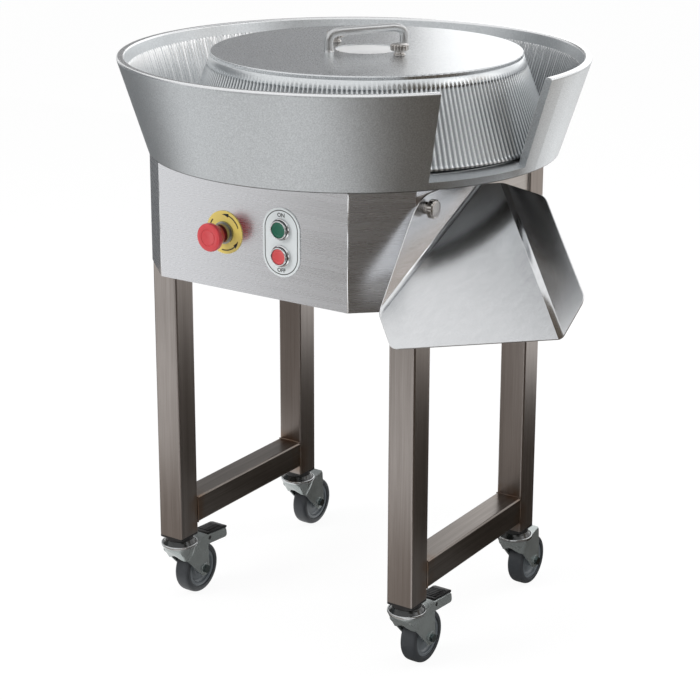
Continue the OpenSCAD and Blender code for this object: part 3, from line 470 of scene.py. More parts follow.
class Finish(Enum):
    """The object's finishes."""

    STAND_TUBE = BrushedSteel(
        (0.4, 0.365, 0.345), (0.29, 0.262, 0.245), Brush.UPRIGHT, 0.28, 0.2, (0.23, 0.13, 0.065)
    )
    # the rails' tube steel is the stand's steel made darker, painted shade for the rails low under the
    # machine
    RAIL_TUBE = BrushedSteel(
        (0.26, 0.235, 0.215), (0.17, 0.15, 0.135), Brush.ALONG_Y, 0.28, 0.25, (0.2, 0.11, 0.055)
    )
    COVER_SHEET = BrushedSteel(
        (0.7, 0.708, 0.732), (0.672, 0.68, 0.704), Brush.LEVEL, 0.27, 0.03, bump=0.012
    )
    SIDE_SHEET = BrushedSteel((0.6, 0.58, 0.565), (0.48, 0.46, 0.45), Brush.ALONG_Y, 0.32, 0.08)
    CHUTE_SHEET = BrushedSteel((0.78, 0.79, 0.805), (0.7, 0.71, 0.725), Brush.ALONG_Y, 0.22, 0.02)
    # the bowl's casting is darkened below its foot with painted shade
    BOWL_CASTING = CastMetal((0.66, 0.685, 0.7), (0.48, 0.5, 0.515), 0.4, 620.0, edge=808.4, foot=679.4)
    # painted shade darkens the ground between the bowl's flutes
    BOWL_FLUTES = CastMetal(
        (0.93, 0.94, 0.945), (0.8, 0.81, 0.82), 0.34, 700.0,
        grooves=BOWL_FLUTE_COUNT, centre=BOWL_AXIS, phase=0.84, valley=(0.2, 0.21, 0.22), width=0.2,
    )
    # painted shade darkens the cone's flute grooves
    CONE_CASTING = CastMetal(
        (0.76, 0.785, 0.8), (0.62, 0.645, 0.66), 0.3, 660.0,
        grooves=CONE_FLUTE_COUNT, centre=CONE_AXIS, valley=(0.12, 0.13, 0.14), width=0.42,
    )
    LID_PLATE = CastMetal((0.74, 0.76, 0.775), (0.66, 0.68, 0.695), 0.27, 700.0)
    LID_RECESS = CastMetal((0.95, 0.955, 0.96), (0.9, 0.905, 0.91), 0.5, 700.0)
    HANDLE_CASTING = CastMetal((0.62, 0.63, 0.635), (0.5, 0.51, 0.515), 0.32, 800.0)
    THUMB_SCREW = PlatedSteel((0.55, 0.53, 0.51), (0.4, 0.38, 0.365), 0.2)
    ZINC_PLATE = PlatedSteel((0.43, 0.47, 0.465), (0.36, 0.395, 0.39), 0.24, 0.72)
    AXLE_BOLT = PlatedSteel((0.2, 0.24, 0.24), (0.13, 0.16, 0.16), 0.2)
    ROLLED_LIP = PlatedSteel((0.62, 0.64, 0.65), (0.5, 0.52, 0.53), 0.2)
    # a brighter copy of the sheet steel for folds and cut edges, a painted highlight
    BRIGHT_PLATE = PlatedSteel((0.85, 0.86, 0.87), (0.72, 0.73, 0.74), 0.14)
    CHROME_RING = PlatedSteel((0.82, 0.83, 0.84), (0.7, 0.71, 0.72), 0.12)
    GROUND_STEEL = PlatedSteel((0.6, 0.6, 0.6), (0.5, 0.5, 0.5), 0.2)
    COLLAR_METAL = PlatedSteel((0.42, 0.42, 0.4), (0.26, 0.26, 0.25), 0.3)
    MACHINE_PAINT = Moulded((0.09, 0.13, 0.18), (0.2, 0.22, 0.24), 0.42, 0.2, 500.0, 0.3)
    BLACK_PLASTIC = Moulded((0.013, 0.013, 0.014), (0.06, 0.06, 0.062), 0.42, 0.0, 700.0, 0.25)
    RACE_PLASTIC = Moulded((0.006, 0.008, 0.008), (0.02, 0.022, 0.022), 0.22, 0.4, 700.0, 0.05)
    SEAL_RUBBER = Moulded((0.02, 0.02, 0.021), (0.06, 0.06, 0.06), 0.6)
    RED_MUSHROOM = Moulded((0.63, 0.045, 0.055), (0.7, 0.16, 0.17), 0.3, 0.35, bump=0.08)
    RED_CAP = Moulded((0.66, 0.07, 0.075), (0.72, 0.2, 0.2), 0.3, 0.3, bump=0.08)
    GREEN_CAP = Moulded((0.003, 0.115, 0.065), (0.01, 0.16, 0.1), 0.34, 0.08, bump=0.08)
    YELLOW_DISC = Moulded((0.84, 0.67, 0.17), (0.76, 0.62, 0.26), 0.4, 0.1, bump=0.1)
    WHITE_PLATE = Moulded((0.78, 0.82, 0.83), (0.7, 0.72, 0.72), 0.38, 0.1, bump=0.06)
    BLACK_INK = Moulded((0.01, 0.01, 0.01), (0.03, 0.03, 0.03), 0.5, bump=0.05)
    WHEEL_CORE = Moulded((0.15, 0.17, 0.185), (0.24, 0.25, 0.26), 0.32, 0.15, 600.0, 0.12)
    TYRE_RUBBER = Moulded((0.04, 0.045, 0.051), (0.1, 0.105, 0.11), 0.5, 0.0, 700.0, 0.3)

    @cached_property
    def material(self) -> bpy.types.Material:
        """The finish as a material, made once."""
        return self.value.make(self.name.lower())


def dress_solids() -> None:
    """Gives every solid its finish: one of its own, or that of its material slot, mostly of the same name."""
    own = {f"axle_{corner.label}": Finish.AXLE_BOLT for corner in Corner}
    for side in ("left", "right"):
        own |= {f"rail_{side}": Finish.RAIL_TUBE, f"side_panel_{side}": Finish.SIDE_SHEET}
    by_slot = {
        "frame_tube": Finish.STAND_TUBE,
        "cast_bowl": Finish.BOWL_CASTING,
        "cast_cone": Finish.CONE_CASTING,
        "hub_casting": Finish.HANDLE_CASTING,
        "thumb_steel": Finish.THUMB_SCREW,
        "zinc_steel": Finish.ZINC_PLATE,
        "drive_paint": Finish.MACHINE_PAINT,
        "bearing_steel": Finish.GROUND_STEEL,
    }
    for part in FRAME["record"]["subparts"]:
        node, slot = part["node"], part["material_slot"]
        finish = own.get(node) or by_slot.get(slot) or Finish[slot.upper()]
        materials = FRAME["nodes"][node].data.materials
        materials.clear()
        materials.append(finish.material)


# Meshes from arrays


def grid_faces(rows: int, columns: int, close: Close) -> list[list[int]]:
    """Faces over a grid of points that is numbered row by row: quads, and the ends of a tube.

    Args:
        rows: how many rows the grid has.
        columns: how many points a row has.
        close: how the grid is closed.

    Returns:
        The faces.
    """
    last_row = rows if close in (Close.RING, Close.TORUS) else rows - 1
    last_column = columns if close in (Close.TORUS, Close.TUBE) else columns - 1
    i, j = np.meshgrid(np.arange(last_row), np.arange(last_column), indexing="ij")
    down, right = (i + 1) % rows, (j + 1) % columns
    corners = [i * columns + j, i * columns + right, down * columns + right, down * columns + j]
    faces = np.stack(corners, axis=-1).reshape(-1, 4).tolist()
    if close is Close.TUBE:
        faces += [[*range(columns)][::-1], [*range((rows - 1) * columns, rows * columns)]]
    return faces


def linked(name: str, data: bpy.types.ID) -> bpy.types.Object:
    """Puts a mesh, a lamp or a camera into the scene.

    Args:
        name: the object's name.
        data: what it shows.

    Returns:
        The object.
    """
    made = bpy.data.objects.new(name, data)
    bpy.context.scene.collection.objects.link(made)
    return made


def new_piece(
    name: str, points: np.ndarray, faces: list[list[int]], material: bpy.types.Material, sharp: float = 35.0
) -> bpy.types.Object:
    """Makes an object from points in millimetres, welded and with its faces turned outwards.

    Args:
        name: the object's name.
        points: any array whose last axis is X, Y, Z.
        faces: polygons over those points.
        material: its material.
        sharp: edges bent by more degrees than this stay crisp.

    Returns:
        The object.
    """
    mesh = bpy.data.meshes.new(name)
    mesh.from_pydata((np.asarray(points, float).reshape(-1, 3) * MM).tolist(), [], faces)
    work = bmesh.new()
    work.from_mesh(mesh)
    bmesh.ops.remove_doubles(work, verts=work.verts, dist=2e-7)
    bmesh.ops.recalc_face_normals(work, faces=work.faces)
    work.to_mesh(mesh)
    work.free()
    mesh.polygons.foreach_set("use_smooth", np.ones(len(mesh.polygons), bool))
    mesh.set_sharp_from_angle(angle=math.radians(sharp))
    mesh.materials.append(material)
    return linked(name, mesh)


def settle(piece: bpy.types.Object, body: str, slot: str, *nodes: str) -> None:
    """Makes a piece ride on a body, and lets it stand for solids.

    Args:
        piece: the object.
        body: the body that it moves with.
        slot: the record's material slot, which is not used.
        nodes: the solids that it replaces.
    """
    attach(piece, body)
    if nodes:
        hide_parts(*nodes)
    LOG.info("%s rides on %s", piece.name, body)


def grid_piece(
    name: str, grid: np.ndarray, close: Close, finish: Finish, ride: tuple[str, ...], sharp: float = 35.0
) -> bpy.types.Object:
    """Makes a piece from a grid of points, and settles it.

    Args:
        name: the piece's name.
        grid: rows of points, in millimetres.
        close: how the grid is closed.
        finish: its finish.
        ride: its body, its material slot, and the solids that it replaces.
        sharp: edges bent by more degrees than this stay crisp.

    Returns:
        The piece.
    """
    piece = new_piece(name, grid, grid_faces(*grid.shape[:2], close), finish.material, sharp)
    settle(piece, *ride)
    return piece


def revolve(profile: np.ndarray, steps: int) -> np.ndarray:
    """Turns a profile about Z: each point (r, z) becomes (r cos a, r sin a, z) at every angle a.

    Args:
        profile: points of radius and height.
        steps: how many angles there are.

    Returns:
        A grid of points, one row for each angle.
    """
    a = np.linspace(0, TURN, steps, endpoint=False)[:, None]
    r, z = profile[:, 0][None], profile[:, 1][None]
    return np.stack([r * np.cos(a), r * np.sin(a), z + 0 * a], axis=-1)


def round_profile(corners: list[tuple[float, float, float]], steps: int = 5) -> np.ndarray:
    """Rounds a line's corners: a quadratic curve joins the two points that lie a radius from each corner.

    Args:
        corners: points as x, y and the distance that is rounded, where 0 keeps the corner.
        steps: how many points a rounded corner has.

    Returns:
        The rounded line.
    """
    spots = np.array([corner[:2] for corner in corners], float)
    out = []
    for k, (x, y, r) in enumerate(corners):
        here = np.array([x, y])
        if r <= 0 or k in (0, len(corners) - 1):
            out.append(here[None])
            continue
        back, on = spots[k - 1] - here, spots[k + 1] - here
        start = here + back / np.linalg.norm(back) * min(r, np.linalg.norm(back) / 2)
        end = here + on / np.linalg.norm(on) * min(r, np.linalg.norm(on) / 2)
        t = np.linspace(0, 1, steps)[:, None]
        out.append((1 - t) ** 2 * start + 2 * t * (1 - t) * here + t**2 * end)
    return np.concatenate(out)


def sweep(
    path: np.ndarray, width: np.ndarray, height: np.ndarray, up: Point, squareness: float, steps: int
) -> np.ndarray:
    """Carries a rounded section along a path: its sides follow cos and sin raised to 2 / squareness.

    Args:
        path: points of the middle line.
        width: the section's half width at each point, across the path and level with up's normal.
        height: the section's half height at each point.
        up: the direction that the section's height leans to.
        squareness: 2 for an oval, more for a rounded box.
        steps: how many points the section has.

    Returns:
        A grid of points, one row for each point of the path.
    """
    run = np.gradient(path, axis=0)
    run /= np.linalg.norm(run, axis=1, keepdims=True)
    across = np.cross(run, np.array(up, float))
    across /= np.linalg.norm(across, axis=1, keepdims=True)
    over = np.cross(across, run)
    a = np.linspace(0, TURN, steps, endpoint=False)
    c, s = (np.sign(wave) * np.abs(wave) ** (2 / squareness) for wave in (np.cos(a), np.sin(a)))
    aside = across[:, None] * (width[:, None] * c)[..., None]
    return path[:, None] + aside + over[:, None] * (height[:, None] * s)[..., None]


def moved(points: np.ndarray, matrix: Matrix) -> np.ndarray:
    """Points carried through a matrix."""
    m = np.array(matrix)
    return points @ m[:3, :3].T + m[:3, 3]


def thicken(piece: bpy.types.Object, thickness: float) -> bpy.types.SolidifyModifier:
    """Gives a flat piece a thickness in millimetres, half to each side.

    Args:
        piece: the flat piece.
        thickness: its thickness.

    Returns:
        The modifier.
    """
    made = piece.modifiers.new("thickness", "SOLIDIFY")
    made.thickness, made.offset = thickness * MM, 0.0
    return made


# Sub-assemblies


@dataclass
class Bowl:
    """Fixed bowl: flutes on its inner wall."""

    foot_z: float = 679.0  # height of the bowl's foot
    inner_r: float = 272.95  # inner wall's radius at the foot
    lean: float = 0.314  # growth of that radius with height
    low: float = 15.5  # flutes' lower end above the foot
    high: float = 116.0  # their upper end
    start: float = 84.15  # where they start, in degrees from the front, just behind the exit
    end: float = 412.45  # where they end, just before the exit
    proud: float = 1.5  # how far a flute stands in from the ground between them
    ground: float = 0.08  # how far that ground stands in from the wall
    bed: float = 1.5  # how far the flutes' back reaches into the wall
    fade: float = 0.06  # share of a flute's length over which it rises at each end
    steps: int = 8  # points round the bowl for each flute

    def build(self) -> None:
        """Makes the flutes: r = wall - proud * rib(a), a rounded rib in every pitch, faded at its ends."""
        turns = (self.end - self.start) / 360.0
        count = int(BOWL_FLUTE_COUNT * turns * self.steps) + 1
        a = np.radians(np.linspace(self.start, self.end, count))[:, None]
        rise = np.array([0.0, 0.2, 0.5, 1.0]) * self.fade
        share = np.concatenate([rise, [0.5], 1 - rise[::-1]])
        h = (self.low + (self.high - self.low) * share)[None]
        fade = np.sin(np.clip(np.minimum(share, 1 - share) / self.fade, 0, 1) * math.pi / 2)[None] ** 0.5
        rib = np.clip((np.abs(np.cos(BOWL_FLUTE_COUNT * a / 2)) - 0.7) / 0.3, 0, 1) ** 0.6
        wall = self.inner_r + self.lean * h
        front, back = (
            np.stack([r * np.sin(a), -r * np.cos(a), h + 0 * a], axis=-1)
            for r in (wall - self.ground - self.proud * rib * fade, wall + self.bed)
        )
        grid = np.concatenate([front, back[:, ::-1]], axis=1) + np.array([*BOWL_AXIS, self.foot_z])
        grid_piece("bowl_flutes", grid, Close.TUBE, Finish.BOWL_FLUTES, ("frame", "cast_bowl"), 60.0)


@dataclass
class Rotor:
    """Turning cone with its flutes, the lid's handle and the floor of the lid's recess."""

    skirt_z: float = 699.0  # height of the cone's lower edge
    height: float = 111.0  # of the cone itself
    top_r: float = 214.4966  # its radius at the top
    lean: float = math.tan(math.radians(20.8))  # growth of the radius downwards
    depth: float = 1.6  # of the flutes
    steps: int = 12  # points round the cone for each flute
    low_band: float = 5.0  # smooth band below the flutes
    top_band: float = 13.0  # smooth band above them
    wall: float = 8.0
    lip_w: float = 64.5  # width of the top lip
    lip_t: float = 8.0  # thickness of the top lip
    recess_r: float = 42.6
    recess_z: float = -1.42  # the recess floor's middle over the lid's top
    recess_t: float = 0.04  # half of that floor's thickness
    handle_angle: float = 61.5  # in plan, in degrees
    span: float = 117.0  # between the handle's feet
    rise: float = 26.8  # height of the middle of its bar
    bend: float = 21.0  # length of its rounded corners
    half_w: float = 5.9  # half of the bar's width
    half_h: float = 4.9  # half of its height
    flare: float = 1.2  # how far its feet flare out
    flare_run: float = 3.0  # distance along the bar over which that fades

    def build(self) -> None:
        """Makes the pieces of the rotor."""
        self.cone()
        self.handle()
        self.recess()

    def side(self, h: float) -> float:
        """The cone's radius at a height above its lower edge."""
        return self.top_r + self.lean * (self.height - h)

    def cone(self) -> None:
        """Makes the cone: r = side(h) - depth * groove(a), with a narrow rounded rib in every pitch of a."""
        a = np.linspace(0, TURN, CONE_FLUTE_COUNT * self.steps, endpoint=False)[:, None]
        x = (np.arange(CONE_FLUTE_COUNT * self.steps) % self.steps / self.steps)[:, None]
        groove = np.clip(np.minimum(x, 1 - x) / 0.28, 0, 1) ** 1.7
        side, top, low = self.side, self.height, self.low_band
        band, under, lip_r = top - self.top_band, top - self.lip_t, self.top_r - self.lip_w
        depths = [(band + 2, 0), (band + 1.2, 0.35), (band, 0.85), (band - 2, 1)]
        depths += [(low + 2, 1), (low, 0.85), (low - 1.5, 0), (0.8, 0)]
        rows = [(lip_r, top, 0), (side(top) - 1, top, 0)]
        rows += [(side(top) - 0.3, top - 0.3, 0), (side(top - 1), top - 1, 0)]
        rows += [(side(h), h, share) for h, share in depths]
        rows += [(side(0) - 0.6, 0, 0), (side(0) - self.wall, 0, 0)]
        rows += [(side(under) - self.wall, under, 0), (lip_r, under, 0)]
        flank, h, share = (np.array(column)[None] for column in zip(*rows))
        r = flank - self.depth * groove * share
        grid = np.stack([r * np.cos(a), r * np.sin(a), h + 0 * a], axis=-1)
        grid += np.array([*CONE_AXIS, self.skirt_z])
        ride = ("rotor", "cast_cone", "rounding_cone")
        grid_piece("cone_fluted", grid, Close.TORUS, Finish.CONE_CASTING, ride, 50.0)

    def handle(self) -> None:
        """Makes the handle: a rounded section carried up, along and down a line with rounded corners."""
        half, rise, bend = self.span / 2, self.rise, self.bend
        line = round_profile([(-half, 0, 0), (-half, rise, bend), (half, rise, bend), (half, 0, 0)], 14)
        run = np.concatenate([[0], np.cumsum(np.linalg.norm(np.diff(line, axis=0), axis=1))])
        even = np.linspace(0, run[-1], 90)
        x, z = (np.interp(even, run, line[:, k]) for k in (0, 1))
        path = np.stack([x, 0 * even, z], axis=-1)
        flare = self.flare * np.exp(-np.minimum(even, even[-1] - even) / self.flare_run)
        tube = sweep(path, self.half_w + flare, self.half_h + flare, (0, 1, 0), 2.6, 28)
        turn = Matrix.Rotation(math.radians(self.handle_angle), 4, "Z")
        grid = moved(tube, Matrix.Translation((*CONE_AXIS, LID_Z)) @ turn)
        ride = ("rotor", "handle_casting", "lid_handle")
        grid_piece("handle_bow", grid, Close.TUBE, Finish.HANDLE_CASTING, ride, 50.0)

    def recess(self) -> None:
        """Makes the floor of the lid's recess: a thin turned disc with a softened edge."""
        r, z, t = self.recess_r, self.recess_z, self.recess_t
        profile = np.array([(0, z - t), (r, z - t), (r, z), (r - 0.2, z + t), (0, z + t)])
        grid = revolve(profile, 96) + np.array([*CONE_AXIS, LID_Z])
        grid_piece("lid_recess_floor", grid, Close.RING, Finish.LID_RECESS, ("rotor", "lid_plate"))


@dataclass
class ThumbScrew:
    """Grooved thumb screw with a domed head."""

    node: str  # the solid that it stands for, which is also its body
    seat: Point  # where its neck meets the surface
    facing: Facing
    thread: float  # length of its thread
    head_r: float = 12.5
    grooves: int = 18  # round the head
    dip: float = 0.15  # depth of a groove, as a share of the radius

    def build(self) -> None:
        """Makes the screw: a turned profile whose head radius dips by the groove's cosine."""
        r, foot = self.head_r, -self.thread
        thread = [(0, foot, 0), (4.0, foot, 0.8), (4.0, 0.3, 0)]
        neck = [(8.2, 0.3, 0.6), (8.2, 2.2, 0.6), (6.6, 3.4, 1.2), (6.6, 6.4, 1.0)]
        head = [(r - 1.2, 7.0, 0), (r, 8.0, 0.6), (r, 14.2, 0.8), (r - 1.5, 15.4, 0.8)]
        dome = [(r - 3.0, 16.0, 1.2), (0, 16.45, 0)]
        profile = round_profile(thread + neck + head + dome)
        grid = revolve(profile, self.grooves * 8)
        a = np.linspace(0, TURN, len(grid), endpoint=False)[:, None]
        on_head = ((profile[:, 0] > r - 1.3) & (profile[:, 1] > 6.5))[None]
        dip = 1 - on_head * self.dip * np.clip(np.cos(self.grooves * a), 0, 1) ** 0.8
        grid[..., :2] *= dip[..., None]
        lean = 0.0 if self.facing is Facing.UP else math.pi / 2
        grid = moved(grid, Matrix.Translation(self.seat) @ Matrix.Rotation(lean, 4, "Y"))
        ride = (self.node, "thumb_steel", self.node)
        grid_piece(f"{self.node}_turned", grid, Close.RING, Finish.THUMB_SCREW, ride, 40.0)


@dataclass
class Chute:
    """Folded chute sheet: plate, back flange and right wall with rounded folds."""

    corner: Point = (216.75, -258.0, 541.0)  # plate's left corner, on the sheet's middle
    slope: float = math.radians(34)  # of the plate
    heading: float = math.radians(45)  # the way it runs down, from right towards the front
    fold: float = 243.0  # length of its back fold along the stand
    drop: float = 57.0  # its length below the left corner
    side: float = 6.0  # set-in of its lower left corner
    low_w: float = 216.0  # width of its lower edge
    top_w: float = 34.0  # its width at the top
    wall_w: float = 49.0  # width of its right wall
    wall_angle: float = math.radians(49)  # of that wall above the plate
    wall_cuts: Spot = (31.0, 62.0)  # at the wall's lower and upper ends
    corner_r: float = 9.0  # how far the plate's and the wall's corners are rounded
    flange_top: float = 670.0  # height of the back flange's top
    flange_lead: float = 91.0  # length of that flange's slanted edge along the stand
    flange_round: float = 30.0  # how far its corner is rounded
    bend_r: float = 4.5  # how far the folds are rounded
    strip: float = 0.7  # width of the strip that rims each face
    sheet: float = 1.5  # thickness

    @cached_property
    def axes(self) -> np.ndarray:
        """The plate's way down, its level way across, and its way out.

        Returns:
            The three directions, one in each row.
        """
        s, h = self.slope, self.heading
        down = np.array([math.cos(s) * math.cos(h), -math.cos(s) * math.sin(h), -math.sin(s)])
        level = np.array([math.sin(h), math.cos(h), 0])
        return np.stack([down, level, np.cross(down, level)])

    def on_plate(self, flat: np.ndarray) -> np.ndarray:
        """Points of the plate, from their distances down it and across it."""
        return np.array(self.corner) + flat @ self.axes[:2]

    def build(self) -> None:
        """Makes the sheet: its three faces share their folds, which are rounded before it is thickened."""
        top = self.fold * np.array([-math.sin(self.heading) / math.cos(self.slope), math.cos(self.heading)])
        foot = np.array([self.drop, self.side + self.low_w])
        head = top + np.array([0, self.top_w])
        edge = round_profile([(0, 0, 0), (self.drop, self.side, self.corner_r), (*foot, 0)], 7)
        plate, wall = self.on_plate(edge), self.wall(foot, head)
        points = np.concatenate([plate, wall, self.on_plate(np.array([head, top])), self.flange()])
        low, high = len(plate) - 1, len(plate) + len(wall)
        faces = [[*range(low + 1), high, high + 1], [*range(low, high + 1)]]
        faces += [[0, *range(high + 1, len(points))]]
        piece = new_piece("chute_folded", points, faces, Finish.CHUTE_SHEET.material, 180.0)
        # the rim of the thickened sheet takes the brighter steel, a painted highlight along its cut edges
        piece.data.materials.append(Finish.BRIGHT_PLATE.material)
        self.bend(piece.data)
        thicken(piece, self.sheet).material_offset_rim = 1
        settle(piece, "frame", "chute_sheet", "chute")

    def wall(self, foot: np.ndarray, head: np.ndarray) -> np.ndarray:
        """Outer edge of the right wall, which stands on the plate's right fold at the wall's angle.

        Args:
            foot: the fold's lower end on the plate.
            head: its upper end.

        Returns:
            The edge's points, from the lower end to the upper.
        """
        down, level, out = self.axes
        length = np.linalg.norm(head - foot)
        run = (head - foot) / length
        left = run[0] * level - run[1] * down
        up = math.sin(self.wall_angle) * out - math.cos(self.wall_angle) * left
        low = (self.wall_cuts[0], self.wall_w, self.corner_r)
        high = (length - self.wall_cuts[1], self.wall_w, self.corner_r)
        edge = round_profile([(0, 0, 0), low, high, (length, 0, 0)])[1:-1]
        return self.on_plate(foot + np.outer(edge[:, 0], run)) + np.outer(edge[:, 1], up)

    def flange(self) -> np.ndarray:
        """Edge of the back flange, upright in the plane of the stand's side.

        Returns:
            The edge's points, from the back end over the rounded corner towards the plate's corner.
        """
        x, y, z = self.corner
        turn = (y + self.flange_lead, self.flange_top, self.flange_round)
        edge = round_profile([(y + self.fold, self.flange_top, 0), turn, (y, z, 0)], 9)[:-1]
        return np.insert(edge, 0, x, axis=1)

    def bend(self, mesh: bpy.types.Mesh) -> None:
        """Rounds the folds, and rims each face with a narrow strip so that its middle stays flat.

        Args:
            mesh: the sheet's three faces.
        """
        work = bmesh.new()
        work.from_mesh(mesh)
        folds = [edge for edge in work.edges if len(edge.link_faces) == 2]
        bmesh.ops.bevel(work, geom=folds, offset=self.bend_r * MM, segments=7, profile=0.5, affect="EDGES")
        flats = [face for face in work.faces if face.calc_area() > 2e-3]
        bmesh.ops.inset_individual(work, faces=flats, thickness=self.strip * MM)
        work.to_mesh(mesh)
        work.free()
        mesh.polygons.foreach_set("use_smooth", np.ones(len(mesh.polygons), bool))


@dataclass
class Stand:
    """Rounded folds of the front cover and weld beads at the ends of the foot rails."""

    fold: Spot = (152.0, -229.5)  # the fold's corner in plan, mirrored to the other side
    bisector: Spot = (-0.368, 0.93)  # the way from that corner into the housing
    inset: float = 1.279845  # how far the fold's middle lies that way
    round: float = 1.3  # the fold's outer radius
    soft: float = 0.3  # how far its ends are softened
    low: float = 522.3  # the cover's lower edge
    high: float = 678.7  # its upper edge
    leg: float = 196.0  # the rails' place along X
    half: float = 20.0  # half of the rails' side
    bead_r: float = 1.15  # radius of a bead between its ripples
    ripple: float = 0.2  # how far they stand out
    ripples: int = 38  # in half a turn
    bead_in: float = 0.5  # how far a bead's middle lies inside the rail's end

    def build(self) -> None:
        """Makes the folds and the beads."""
        for name, side in (("left", -1), ("right", 1)):
            self.fold_strip(name, side)
            for end, back in (("front", -1), ("rear", 1)):
                self.bead(f"{end}_{name}", side, back)

    def fold_strip(self, name: str, side: int) -> None:
        """Makes one fold: a circle in plan carried up the corner, with softened ends, in a brighter steel
        that paints a highlight along the fold.

        Args:
            name: the side's name.
            side: the sign of its X.
        """
        x, y = (spot + way * self.inset for spot, way in zip(self.fold, self.bisector))
        small = self.round - self.soft
        rows = [(small, self.low), (self.round, self.low + self.soft)]
        rows += [(self.round, self.high - self.soft), (small, self.high)]
        grid = np.swapaxes(revolve(np.array(rows), 24), 0, 1) + np.array([side * x, y, 0])
        ride = ("frame", "cover_sheet")
        # the fold is in brighter steel than the cover, a painted highlight along its rounded bend
        grid_piece(f"cover_fold_{name}", grid, Close.TUBE, Finish.BRIGHT_PLATE, ride, 60.0)

    def bead(self, name: str, side: int, back: int) -> None:
        """Makes one bead: a round section whose radius ripples, carried round the rail's end.

        Args:
            name: the rail end's name.
            side: the sign of its X.
            back: the sign of its Y.
        """
        s = np.linspace(0, TURN, 240, endpoint=False)
        c, n = np.cos(s), np.sin(s)
        out = np.stack([c, 0 * s, n], axis=-1)
        path = out * (self.half / np.maximum(np.abs(c), np.abs(n)) ** 0.93)[:, None]
        r = (self.bead_r + self.ripple * np.abs(np.sin(self.ripples * s)))[:, None, None]
        t = np.linspace(0, TURN, 12, endpoint=False)[None, :, None]
        ring = path[:, None] + r * (np.cos(t) * out[:, None] + np.sin(t) * np.array([0, 1.0, 0]))
        grid = ring + np.array([side * self.leg, back * (RAIL_END - self.bead_in), RAIL_Z])
        grid_piece(f"weld_{name}", grid, Close.TORUS, Finish.RAIL_TUBE, ("frame", "frame_tube"), 60.0)


